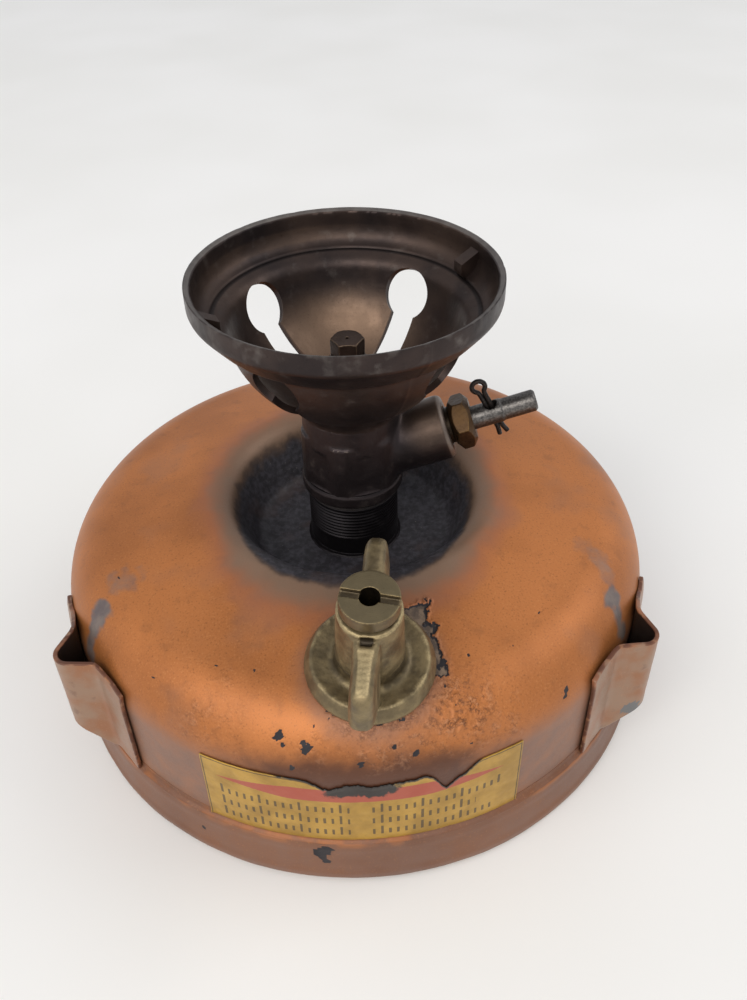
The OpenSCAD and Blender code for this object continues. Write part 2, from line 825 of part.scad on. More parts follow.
// One wing of the cap, along +X
module wing() {
    root = stalk_top_d / 4;
    edge = wing_t / 4;
    // Width of the wing's foot on the flange, and lean of its outer end
    foot = 2;
    end_lean = 1.4;
    low_round = 3;
    top_round = 2;
    side_view = rounded(
        [[root, stalk_foot], [stalk_d / 2 + foot, stalk_foot], [wing_reach, wing_low],
            [wing_reach - end_lean, wing_top], [root, wing_top]],
        [0, foot, low_round, top_round, 0]
    );
    plan = rounded(
        [[root, -wing_t / 2], [wing_reach, -wing_t / 2], [wing_reach, wing_t / 2], [root, wing_t / 2]],
        [0, edge, edge, 0]
    );
    end_view = rounded(
        [[-wing_t / 2, 0], [-wing_t / 2, wing_top], [wing_t / 2, wing_top], [wing_t / 2, 0]],
        [0, edge, edge, 0]
    );
    intersection() {
        rotate([90, 0, 0]) translate([0, 0, -wing_t]) linear_extrude(2 * wing_t) polygon(side_view);
        linear_extrude(wing_top + past) polygon(plan);
        rotate([90, 0, 90]) linear_extrude(wing_reach + past) polygon(end_view);
    }
}

module filler_cap() {
    cap_r = cap_d / 2;
    // Rounding of the flange's edge, and width of its raised rim
    edge = 0.42 * cap_flange_h;
    rim_w = 1.6 * edge;
    plug_round = 0.5;
    stalk_foot_round = 1.5;
    stalk_top_round = 0.6;
    // The flange's rim hangs over the seal
    skirt_r = seal_r + face_gap;
    outline = rounded(
        [[0, plug_bottom], [plug_r, plug_bottom], [plug_r, cap_under],
            [skirt_r, cap_under], [skirt_r, flange_bottom],
            [cap_r, flange_bottom], [cap_r, flange_top], [cap_r - rim_w, flange_top],
            [stalk_d / 2, stalk_foot], [stalk_top_d / 2, stalk_top], [0, stalk_top]],
        [0, plug_round, 0, 0, 0, edge, edge, 0, stalk_foot_round, stalk_top_round, 0]
    );
    color("#8c7f52") at_filler() difference() {
        union() {
            turned(outline);
            for (i = [0:1])
                rotate([0, 0, wing_turn + 180 * i]) wing();
        }
        rod(inlet_d / 2, plug_bottom - past, seat_z + past);
        rod(relief_r, seat_z, stalk_top);
        rod(screw_d / 2 + fix_gap, screw_bottom, stalk_top + past);
    }
}

module relief_screw() {
    head_z = stalk_top + head_gap;
    head_top = head_z + head_h;
    edge = 0.3;
    color("#9a9070") at_filler() difference() {
        union() {
            rod(screw_d / 2, screw_bottom, head_z);
            turned(rounded(
                [[0, head_z], [head_d / 2, head_z], [head_d / 2, head_top], [0, head_top]],
                [0, edge, edge, 0]
            ));
        }
        rod(vent_d / 2, screw_bottom - past, head_top + past);
        rotate([0, 0, slot_turn]) translate([-head_d, -slot_w / 2, head_top - slot_deep])
            cube([2 * head_d, slot_w, slot_deep + past]);
    }
}

module relief_spring() {
    wire_r = spring_wire / 2;
    from = pin_head_top + wire_r + face_gap;
    to = screw_bottom - wire_r - face_gap;
    sides = 6;
    per_turn = 16;
    rings = spring_turns * per_turn;
    lead = (to - from) / spring_turns;
    // Slope of the wire, so that each ring stands square to it
    slope = atan2(lead, 2 * PI * spring_r);
    points = [
        for (i = [0:rings], j = [0:sides - 1])
            let (a = 360 * i / per_turn, b = 360 * j / sides)
            let (out = wire_r * cos(b), up = wire_r * sin(b))
            concat(
                polar(spring_r + out, a) - up * sin(slope) * [-sin(a), cos(a)],
                from + (to - from) * i / rings + up * cos(slope)
            )
    ];
    skin = [
        for (i = [0:rings - 1], j = [0:sides - 1])
            let (a = i * sides + j, b = i * sides + (j + 1) % sides)
            each [[a, a + sides, b], [b, a + sides, b + sides]]
    ];
    last = rings * sides;
    ends = [
        for (j = [1:sides - 2])
            each [[0, j, j + 1], [last, last + j + 1, last + j]]
    ];
    color("#7d7d7d") at_filler() polyhedron(points = points, faces = concat(skin, ends));
}

module relief_pin() {
    // Gas passes the guided head through three grooves in its edge
    groove_r = 0.8;
    head_r = relief_r - run_gap;
    color("#a58a45") at_filler() difference() {
        union() {
            rod(head_r, pin_head_z, pin_head_top);
            rod(pin_d / 2, pin_head_z, pin_top);
        }
        for (i = [0:2])
            rotate([0, 0, 120 * i])
                translate([head_r, 0, 0])
                    rod(groove_r, pin_head_z - past, pin_head_top + past);
    }
}

module relief_seal() {
    // Width of the seal's ring round the inlet
    overlap = 1;
    color("#20201f") at_filler() rod(inlet_d / 2 + overlap, relief_seal_z, pin_head_z);
}

tank_shell();
tank_base();
clip_left();
clip_right();
clip_rear();
label_plate();
filler_neck();
burner_socket();
feed_pipe();
wick();
burner_gasket();
burner_body();
burner_bell();
jet();
gland_washer();
gland_packing();
gland_nut();
valve_spindle();
cotter_pin();
filler_seal();
filler_cap();
relief_screw();
relief_spring();
relief_pin();
relief_seal();
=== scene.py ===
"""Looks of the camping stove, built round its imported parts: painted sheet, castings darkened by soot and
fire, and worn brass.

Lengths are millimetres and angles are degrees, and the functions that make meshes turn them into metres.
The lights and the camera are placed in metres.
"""

from math import acos, ceil, cos, pi, radians, sin, tan

import bmesh
import bpy
import numpy as np
from mathutils import Matrix, Vector, noise


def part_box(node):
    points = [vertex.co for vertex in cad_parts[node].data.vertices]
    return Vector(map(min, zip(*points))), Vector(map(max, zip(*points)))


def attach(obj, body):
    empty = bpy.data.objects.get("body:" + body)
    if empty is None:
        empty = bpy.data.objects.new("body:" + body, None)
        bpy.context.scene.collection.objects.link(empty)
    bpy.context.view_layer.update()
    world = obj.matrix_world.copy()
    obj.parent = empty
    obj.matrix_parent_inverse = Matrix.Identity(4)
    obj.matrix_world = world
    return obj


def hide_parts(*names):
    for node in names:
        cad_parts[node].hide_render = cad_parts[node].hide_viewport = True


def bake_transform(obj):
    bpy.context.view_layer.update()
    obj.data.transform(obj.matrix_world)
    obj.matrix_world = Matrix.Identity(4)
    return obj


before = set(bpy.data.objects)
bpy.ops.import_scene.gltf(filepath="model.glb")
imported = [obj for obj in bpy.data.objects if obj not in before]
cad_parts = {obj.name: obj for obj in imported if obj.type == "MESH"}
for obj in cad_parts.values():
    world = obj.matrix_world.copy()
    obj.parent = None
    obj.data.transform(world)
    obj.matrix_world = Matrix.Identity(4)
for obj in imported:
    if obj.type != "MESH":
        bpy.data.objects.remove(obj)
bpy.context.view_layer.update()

MM = 0.001
# Turn between the mesh lines of large turned pieces, and from where a casting's edge is sharp
TURN_STEP = 0.75
SHARP_TURN = 40.0

# Tank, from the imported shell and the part's own sizes
TANK_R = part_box("tank_shell")[1].x / MM
SHELL_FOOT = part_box("tank_shell")[0].z / MM
SHELL_T = 1.0
SHOULDER_Z = 35.0
SHOULDER_R = 17.0
TOP_SLOPE = 12.0
PAN_R = 32.7
PAN_DEPTH = 16.5
PAN_LEAN = 25.0
PAN_LIP_R = 6.0
PAN_CORNER_R = 4.0

# Base, clips and label
SKIRT_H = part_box("tank_base")[1].z / MM
FOOT_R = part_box("tank_base")[1].x / MM
SKIRT_TOP_R = 76.3
BASE_T = 1.2
FLOOR_Z = 4.0
FOOT_W = 7.0
FLOOR_SLOPE_W = 2.4
FOLD_R = 1.8
# Sheet edges that turn by more than this are rounded off
BEVEL_FROM_TURN = 50.0
CLIP_LOW, CLIP_TOP = (corner.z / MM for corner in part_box("clip_rear"))
CLIP_T = 1.0
CLIP_IN_R = TANK_R + 0.1
CLIP_WING = 10.0
CLIP_FAR_WING = 5.0
POCKET_W = 13.0
POCKET_TIP_W = 3.0
POCKET_TIP_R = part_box("clip_rear")[1].y / MM - CLIP_T
POCKET_CUT_H, POCKET_CUT_L = 8.0, 7.1
POCKET_FOOT_BEND, POCKET_TIP_BEND = 4.0, 2.9
CLIP_FALL = 3.3
CLIP_ROWS = 44
# How closely a short and a long wing follow the shoulder, and how far a short one stands off
CLIP_HUG, CLIP_FAR_HUG, CLIP_LIFT = 0.45, 0.92, 0.35
# Direction of each clip, and the side of its long wing
CLIPS = {"clip_left": (-148.0, -1), "clip_right": (-33.6, 1), "clip_rear": (90.0, 0)}
LABEL_FROM, LABEL_TO = -118.4, -62.5
LABEL_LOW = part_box("label_plate")[0].z / MM
LABEL_H = 22.8
LABEL_T = 0.25

# Burner socket
SOCKET_R = 11.4
SOCKET_TOP = 56.757
SOCKET_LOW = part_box("burner_socket")[0].z / MM
SPIGOT_R = 9.0
SPIGOT_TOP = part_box("burner_socket")[1].z / MM
SOCKET_BORE_R = 5.05
FLANGE_R = 15.5
FLANGE_T = 1.5
THREAD_PITCH = 1.0
THREAD_DEPTH = 0.42
THREAD_LOW, THREAD_TOP = SOCKET_TOP - 9.5, SOCKET_TOP - 0.9

# Valve arm and spindle
ARM_Z = 65.857
ARM_RISE = 17.5
ARM_R = 8.0
ARM_END = 24.0
ARM_MORE = 1.3
NUT_FROM = 25.5
NUT_TO = 32.0
NUT_FLAT_R = 6.0
NUT_CHAMFER = 0.9
NUT_TURN = 43.0
NUT_SHOWS_FROM, NUT_SHOWS_TO = 26.2, 31.4
# Direction of the nut's faces that get a painted highlight
NUT_LIT_SIDE = np.array([0.1, -0.85, 0.4])
COTTER_S = 36.4
COTTER_LEAN = 10.0
COTTER_WIRE_R = 0.6
COTTER_EYE_R = 1.6
COTTER_UP = 8.4
COTTER_DOWN = 6.8
COTTER_BEND = 2.2
COTTER_SPREAD = 11.0

# Filler and its cap
FILLER_R = 57.6
FILLER_TURN = -88.0
NECK_R = 11.5
CAP_R = 14.1
CAP_LOW = 0.7
CAP_TOP = CAP_LOW + 4.0
WING_TOP = 22.1
WING_TURN = -9.4
HEAD_R = 6.15
HEAD_TOP = 27.8
VENT_R = 2.0
# Gaps between the file marks on a wing and the turning marks on the screw, and the saw cut's two sides
FILE_GAP, TURNING_GAP = 1.35, 0.45
SAW_CUT = (6.5, 7.6)

# Burner's stem and bell, with depths below the rim
STEM_R = 11.8
RIM_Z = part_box("burner_bell")[1].z / MM
RIM_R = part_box("burner_bell")[1].x / MM
BELL_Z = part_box("burner_bell")[0].z / MM
LIP_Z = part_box("burner_body")[0].z / MM
LIP_R = 12.6
BELL_T = 1.5
BELL_HOLE_R = 6.45
RIM_BEVEL_H = 0.85
BAND_H = 3.4
COVE_W = 3.3
COVE_H = 5.0
LEDGE_R = 26.6
LEDGE_D = 10.6
BOWL_R = 26.5
BOWL_TOP = 7.7
BOWL_DEPTH = 25.5
# Depths where the sections follow the bowl: from its upper end to the lower one, inside and outside
BOWL_FROM, BOWL_TO, BOWL_OUT_TO = 14.0, 30.5, 32.0
# Corners of the outside below the rim's band, as radius and depth, and the groove above the ledge
LEDGE_UNDER, LEDGE_OUT, BAND_LOW = (27.7, 12.0), (30.8, 10.2), 5.0
GROOVE_D, LEDGE_EDGE_D = 8.95, 8.8
KEY_HEAD_R = 5.9
KEY_SLOT_W = 6.4
KEY_DROP = 8.8
KEY_END_R = 15.0
KEY_CUT = 7.0
KEY_TURNS = [52.5 + 90 * i for i in range(4)]
LUG_TURNS = [25.0, 200.0]
LUG_W = 3.2
LUG_IN_R = 29.0
# Depths of a lug's sloping top inside and outside, and of its foot, which is sunk into the cove
LUG_TOP_IN, LUG_TOP_OUT, LUG_LOW, LUG_SUNK = 5.0, 2.3, 7.4, 0.6


def top_z(r):
    """Height of the tank's sloping top at a radius."""
    corner = SHOULDER_Z + SHOULDER_R * tan(radians(90 - TOP_SLOPE) / 2)
    return corner + (TANK_R - r) * tan(radians(TOP_SLOPE))


def wall_r(z):
    """Outside radius of the tank's wall and shoulder at a height."""
    up = np.clip(np.asarray(z, float) - SHOULDER_Z, 0, SHOULDER_R)
    return TANK_R - SHOULDER_R + np.sqrt(SHOULDER_R**2 - up**2)


MOUTH_Z = top_z(PAN_R)
PAN_Z = MOUTH_Z - PAN_DEPTH
PAN_FLOOR_R = PAN_R - PAN_DEPTH * tan(radians(PAN_LEAN))


def turn(angle, axis):
    """A rotation about a named axis."""
    return Matrix.Rotation(radians(angle), 4, axis)


def shift(x, y, z):
    return Matrix.Translation((x, y, z))


# Frames of the filler, +Z square to the top and +X outwards, and of the cap's wings on it
FILLER = turn(FILLER_TURN, "Z") @ shift(FILLER_R, 0, top_z(FILLER_R)) @ turn(TOP_SLOPE, "Y")
FILLER_UP = np.array(FILLER.to_3x3())[:, 2]
WING = FILLER @ turn(WING_TURN, "Z")
# Frames of the valve arm, +Z outwards, and of the nut and the split pin on it
ARM = shift(0, 0, ARM_Z) @ turn(90 - ARM_RISE, "Y")
NUT = ARM @ turn(NUT_TURN, "Z")
COTTER = ARM @ shift(0, 0, COTTER_S) @ turn(-90 - COTTER_LEAN, "Y")


def to_frame(points, place):
    """Points as seen in a frame."""
    back = np.array(place.inverted())
    return points @ back[:3, :3].T + back[:3, 3]


def from_frame(points, place):
    """Points of a frame, in the part's own frame."""
    out = np.array(place)
    return points @ out[:3, :3].T + out[:3, 3]


# Curves and fields

def unit(v):
    return v / np.linalg.norm(v)


def ramp(x, low, high):
    """A smooth step from 0 at low to 1 at high, where low may be above high."""
    t = np.clip((np.asarray(x, float) - low) / (high - low), 0, 1)
    return t * t * (3 - 2 * t)


def hump(x, middle, width):
    """A bell curve, 1 at its middle."""
    return np.exp(-(((x - middle) / width) ** 2))


def span(x, low, high, soft):
    """1 between low and high, with soft edges."""
    return ramp(x, low - soft, low + soft) * ramp(x, high + soft, high - soft)


def off_axis(points):
    """Distance of each point from the Z axis."""
    return np.hypot(points[:, 0], points[:, 1])


def bearing(points):
    """Direction of each point round the Z axis."""
    return np.degrees(np.arctan2(points[:, 1], points[:, 0]))


def bulge(points, place, width):
    """A bell curve in every direction from a place."""
    return hump(np.linalg.norm(points - place, axis=1), 0, width)


def most(*fields):
    """The greatest of several fields at each point."""
    return np.maximum.reduce(np.broadcast_arrays(*fields))


def turned_from(angles, middle):
    """Angles counted from a middle direction, between -180 and 180."""
    return (angles - middle + 180) % 360 - 180


def cloud(points, size, seed, octaves=3):
    """Fractal noise at each point, mostly between -1 and 1, with features of about that size."""
    places = points / size + np.array([12.9, 78.2, 37.7]) * (seed + 1)
    return np.array([noise.fractal(p, 0.8, 2.0, octaves) for p in places.tolist()])


def rounded(path, radii, step):
    """A path with its corners rounded by the radii, in steps of that turn, where 0 keeps a corner sharp."""
    path = [np.array(p, float) for p in path]
    out = []
    for i, (q, r) in enumerate(zip(path, radii)):
        if not r:
            out.append(q)
            continue
        u = unit(path[i - 1] - q)
        v = unit(path[i + 1] - q)
        half = acos(u @ v) / 2
        centre = q + unit(u + v) * r / sin(half)
        start = q + u * r / tan(half) - centre
        end = q + v * r / tan(half) - centre
        sweep = pi - 2 * half
        for t in np.linspace(0, 1, ceil(sweep / radians(step)) + 1):
            out.append(centre + (start * sin(sweep * (1 - t)) + end * sin(sweep * t)) / sin(sweep))
    return np.array(out)


def beside(path, d):
    """The path moved sideways by d, to its left where d is above 0."""
    along = np.diff(path, axis=0)
    along /= np.linalg.norm(along, axis=1)[:, None]
    left = np.column_stack([-along[:, 1], along[:, 0]])
    into = np.vstack([left[:1], left])
    n = into + np.vstack([left, left[-1:]])
    n /= np.linalg.norm(n, axis=1)[:, None]
    return path + n * (d / (n * into).sum(1))[:, None]


def spaced(path, step):
    """Points along a path, each about step(point) from the one before, with both ends kept."""
    run = np.concatenate([[0], np.cumsum(np.linalg.norm(np.diff(path, axis=0), axis=1))])

    def at(s):
        return np.column_stack([np.interp(s, run, column) for column in path.T])

    places = [0.0]
    while places[-1] < run[-1] - 0.01:
        places.append(places[-1] + step(at(places[-1:])[0]))
    places[-1] = run[-1]
    return at(places)


# Meshes

def quads(rows, cols, wrap_rows=False, wrap_cols=False):
    """Faces of a grid of points, closed on itself where it wraps."""
    i = np.arange(rows if wrap_rows else rows - 1)[:, None]
    j = np.arange(cols if wrap_cols else cols - 1)[None, :]
    i1, j1 = (i + 1) % rows, (j + 1) % cols
    corners = np.broadcast_arrays(i * cols + j, i1 * cols + j, i1 * cols + j1, i * cols + j1)
    return np.stack(corners, -1).reshape(-1, 4)


def show(name, data):
    """A new object in the scene."""
    obj = bpy.data.objects.new(name, data)
    bpy.context.scene.collection.objects.link(obj)
    return obj


def make(name, points, faces):
    """A smooth-shaded object from points in millimetres."""
    mesh = bpy.data.meshes.new(name)
    mesh.from_pydata((np.asarray(points) * MM).tolist(), [], [list(map(int, f)) for f in faces])
    turned = bmesh.new()
    turned.from_mesh(mesh)
    bmesh.ops.recalc_face_normals(turned, faces=turned.faces)
    turned.to_mesh(mesh)
    turned.free()
    mesh.shade_smooth()
    return show(name, mesh)


def lathe(name, profile, turns):
    """A turned piece from a closed profile of radius and height."""
    a = np.radians(turns)[:, None]
    r, z = profile.T
    points = np.stack([np.cos(a) * r, np.sin(a) * r, np.broadcast_to(z, (len(turns), len(z)))], -1)
    return make(name, points.reshape(-1, 3), quads(len(turns), len(z), True, True))


def ring(name, place, corners, gap, turn_step, arc_step=8.0):
    """A turned ring, from its section's corners: radius and height from a place, and rounding."""
    closed = np.array(corners + corners[:1])
    section = spaced(rounded(closed[:, :2] + place, closed[:, 2], arc_step), lambda p: gap)[:-1]
    return lathe(name, section, np.arange(0, 360, turn_step))


def sheet(name, outer, inner):
    """A closed sheet between two grids of points."""
    rows, cols = outer.shape[:2]
    index = np.arange(rows * cols).reshape(rows, cols)
    rim = np.concatenate([index[0], index[1:, -1], index[-1, -2::-1], index[-2:0:-1, 0]])
    after = np.roll(rim, -1)
    side = np.stack([rim, after, after + rows * cols, rim + rows * cols], -1)
    faces = np.concatenate([quads(rows, cols), quads(rows, cols) + rows * cols, side])
    return make(name, np.concatenate([outer.reshape(-1, 3), inner.reshape(-1, 3)]), faces)


def tube(name, path, radius, sides=14):
    """A round wire with closed ends, along a path in the XZ plane."""
    along = np.gradient(path, axis=0)
    along /= np.linalg.norm(along, axis=1)[:, None]
    across = np.array([0.0, 1.0, 0.0])
    a = np.linspace(0, 2 * pi, sides, endpoint=False)[:, None]
    points = path[:, None] + radius * (np.cos(a) * across + np.sin(a) * np.cross(along, across)[:, None])
    last = (len(path) - 1) * sides
    ends = [range(sides)[::-1], range(last, last + sides)]
    return make(name, points.reshape(-1, 3), [*quads(len(path), sides, False, True), *ends])


def prism(name, outline, low, high, place):
    """A closed prism on an outline, put in a frame."""
    flat = np.asarray(outline, float)
    n = len(flat)
    points = np.vstack([np.column_stack([flat, np.full(n, height)]) for height in (low, high)])
    sides = [(i, (i + 1) % n, n + (i + 1) % n, n + i) for i in range(n)]
    faces = sides + [tuple(range(n))[::-1], tuple(range(n, 2 * n))]
    return make(name, from_frame(points, place), faces)


def modify(obj, kind, **settings):
    """Adds a modifier with its settings."""
    change = obj.modifiers.new(kind.title(), kind)
    for key, value in settings.items():
        setattr(change, key, value)


def bevel(obj, width, segments):
    """Rounds off a sheet's edges."""
    limit = radians(BEVEL_FROM_TURN)
    modify(obj, "BEVEL", width=width * MM, segments=segments, limit_method="ANGLE", angle_limit=limit)
    return freeze(obj)


def carve(obj, tool, how="DIFFERENCE"):
    """Cuts a tool out of a piece, or joins it on, and removes the tool."""
    modify(obj, "BOOLEAN", operation=how, solver="MANIFOLD", object=tool)
    freeze(obj)
    bpy.data.objects.remove(tool)
    obj.data.shade_smooth()
    return obj


def freeze(obj):
    """Applies a piece's modifiers."""
    graph = bpy.context.evaluated_depsgraph_get()
    mesh = bpy.data.meshes.new_from_object(obj.evaluated_get(graph), depsgraph=graph)
    obj.modifiers.clear()
    obj.data = mesh
    return obj


def copy_of(node, name):
    """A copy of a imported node, without its finish."""
    obj = show(name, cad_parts[node].data.copy())
    obj.data.materials.clear()
    return obj


def casting(node, name, voxel, smooth=2):
    """A close-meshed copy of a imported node, with its edges softened."""
    obj = copy_of(node, name)
    modify(obj, "REMESH", mode="VOXEL", voxel_size=voxel * MM, use_smooth_shade=True)
    modify(obj, "SMOOTH", factor=0.5, iterations=smooth)
    return freeze(obj)


def read(items, what, width):
    values = np.empty(len(items) * width, np.float32 if what != "vertices" else np.int32)
    items.foreach_get(what, values)
    return values.reshape(-1, width)


def points_of(obj, place=None):
    """Each vertex's place, as seen in a frame where one is given."""
    points = read(obj.data.vertices, "co", 3).astype(float) / MM
    return to_frame(points, place) if place else points


def normals_of(obj):
    return read(obj.data.vertices, "normal", 3).astype(float)


def place_points(obj, points, place=None):
    """Sets each vertex's place, from points of a frame where one is given."""
    if place:
        points = from_frame(points, place)
    obj.data.vertices.foreach_set("co", (points * MM).astype(np.float32).ravel())
    obj.data.update()


def push(obj, amount):
    """Moves each vertex along its normal."""
    place_points(obj, points_of(obj) + normals_of(obj) * np.asarray(amount)[:, None])


def neighbours(obj):
    """A function that averages values over each vertex's neighbours."""
    pairs = read(obj.data.edges, "vertices", 2)
    n = len(obj.data.vertices)
    count = np.maximum(np.bincount(pairs.ravel(), minlength=n), 1)

    def mean(values):
        ends = [np.bincount(pairs[:, k], values[pairs[:, 1 - k]], minlength=n) for k in (0, 1)]
        return (ends[0] + ends[1]) / count

    return mean


def soften(obj, weight, passes):
    """Rounds off the places that have weight."""
    mean, p = neighbours(obj), points_of(obj)
    for _ in range(passes):
        p += 0.5 * weight[:, None] * (np.column_stack([mean(column) for column in p.T]) - p)
    place_points(obj, p)


def ridges(obj, spread=2):
    """Curvature at each vertex, above 0 on edges and below 0 in creases, in 1/mm."""
    mean, p = neighbours(obj), points_of(obj)
    pairs = read(obj.data.edges, "vertices", 2)
    edge = np.linalg.norm(p[pairs[:, 0]] - p[pairs[:, 1]], axis=1).mean()
    around = np.column_stack([mean(column) for column in p.T])
    bend = ((p - around) * normals_of(obj)).sum(1) / edge**2
    for _ in range(spread):
        bend = (bend + mean(bend)) / 2
    return bend


def layer(obj, name, r=0.0, g=0.0, b=0.0):
    """Stores three fields from 0 to 1 on a piece's vertices, for its finish."""
    count = len(obj.data.vertices)
    attribute = obj.data.color_attributes.new(name, "FLOAT_COLOR", "POINT")
    channels = [np.broadcast_to(np.clip(c, 0, 1), count) for c in (r, g, b, 1.0)]
    attribute.data.foreach_set("color", np.stack(channels, -1).astype(np.float32).ravel())


def fit(obj, finish, body="tank", nodes=()):
    """Gives a piece its finish, its body and the nodes that it stands for."""
    obj.data.materials.clear()
    obj.data.materials.append(finish)
    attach(obj, body)
    if nodes:
        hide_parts(*nodes)


# Finishes

def tint(code):
    """Linear colour of a hex sRGB code."""
    parts = [int(code[i:i + 2], 16) / 255 for i in (0, 2, 4)]
    return [c / 12.92 if c <= 0.04045 else ((c + 0.055) / 1.055) ** 2.4 for c in parts] + [1.0]


class Finish:
    """A node material, with short calls for the nodes that the finishes share."""

    def __init__(self, name, **constants):
        self.material = bpy.data.materials.new(name)
        self.material.use_nodes = True
        self.tree = self.material.node_tree
        self.shader = self.tree.nodes["Principled BSDF"]
        self.place = self.add("ShaderNodeTexCoord").outputs["Object"]
        self.normal = self.colour = None
        self.feed(constants)

    def feed(self, sockets):
        """Sets or links inputs of the shader."""
        for socket, value in sockets.items():
            self.put(self.shader.inputs[socket.replace("_", " ")], value)

    def put(self, socket, value):
        if isinstance(value, bpy.types.NodeSocket):
            self.tree.links.new(value, socket)
        else:
            socket.default_value = tint(value) if isinstance(value, str) else value

    def add(self, kind, inputs=None, **settings):
        node = self.tree.nodes.new(kind)
        for key, value in settings.items():
            setattr(node, key, value)
        for socket, value in (inputs or {}).items():
            self.put(node.inputs[socket], value)
        return node

    def grain(self, size, detail=3.0, stretch=(1, 1, 1)):
        """Noise from 0 to 1 with features of that size."""
        spot = self.place
        if stretch != (1, 1, 1):
            spot = self.add("ShaderNodeMapping", {"Vector": spot, "Scale": stretch}).outputs[0]
        inputs = {"Vector": spot, "Scale": 1 / (size * MM), "Detail": detail, "Roughness": 0.55}
        return self.add("ShaderNodeTexNoise", inputs).outputs["Fac"]

    def cells(self, size):
        """Distance from the nearest border of ragged cells of that size, from 0."""
        inputs = {"Vector": self.place, "Scale": 1 / (size * MM)}
        drift = self.add("ShaderNodeTexNoise", inputs).outputs["Color"]
        moved = {0: drift, 1: (0.9 * size * MM,) * 3, 2: self.place}
        inputs["Vector"] = self.add("ShaderNodeVectorMath", moved, operation="MULTIPLY_ADD").outputs[0]
        return self.add("ShaderNodeTexVoronoi", inputs, feature="DISTANCE_TO_EDGE").outputs["Distance"]

    def step(self, value, low, high, start=0.0, end=1.0):
        """A smooth step from start at low to end at high."""
        inputs = {"Value": value, "From Min": low, "From Max": high, "To Min": start, "To Max": end}
        return self.add("ShaderNodeMapRange", inputs, interpolation_type="SMOOTHSTEP").outputs["Result"]

    def math(self, how, a, b):
        return self.add("ShaderNodeMath", {0: a, 1: b}, operation=how).outputs[0]

    def times(self, a, b):
        return self.math("MULTIPLY", a, b)

    def frayed(self, mask, by, amount, low, high, end=1.0):
        """A smooth step over a mask whose edge is broken up by a grain."""
        shaken = self.math("ADD", mask, self.times(self.math("SUBTRACT", by, 0.5), amount))
        return self.step(shaken, low, high, 0.0, end)

    def mix(self, share, a, b):
        return self.add("ShaderNodeMix", {0: share, 6: a, 7: b}, data_type="RGBA").outputs[2]

    def over(self, share, colour, below=None):
        """Lays a share of a colour over the ones before, or over the first one."""
        self.colour = self.mix(share, below or self.colour, colour)

    def level(self, share, a, b):
        return self.add("ShaderNodeMix", {0: share, 2: a, 3: b}, data_type="FLOAT").outputs[0]

    def masks(self, name):
        colour = self.add("ShaderNodeAttribute", attribute_name=name).outputs["Color"]
        return self.add("ShaderNodeSeparateColor", {"Color": colour}).outputs[:3]

    def bump(self, height, depth):
        """Adds a relief of that depth to the ones before."""
        inputs = {"Height": height, "Distance": depth * MM, "Strength": 1.0}
        if self.normal:
            inputs["Normal"] = self.normal
        self.normal = self.add("ShaderNodeBump", inputs).outputs[0]

    def done(self, **sockets):
        """Links colour, relief and other fields to the shader and returns the material."""
        self.feed({"Base_Color": self.colour, "Normal": self.normal, **sockets})
        return self.material


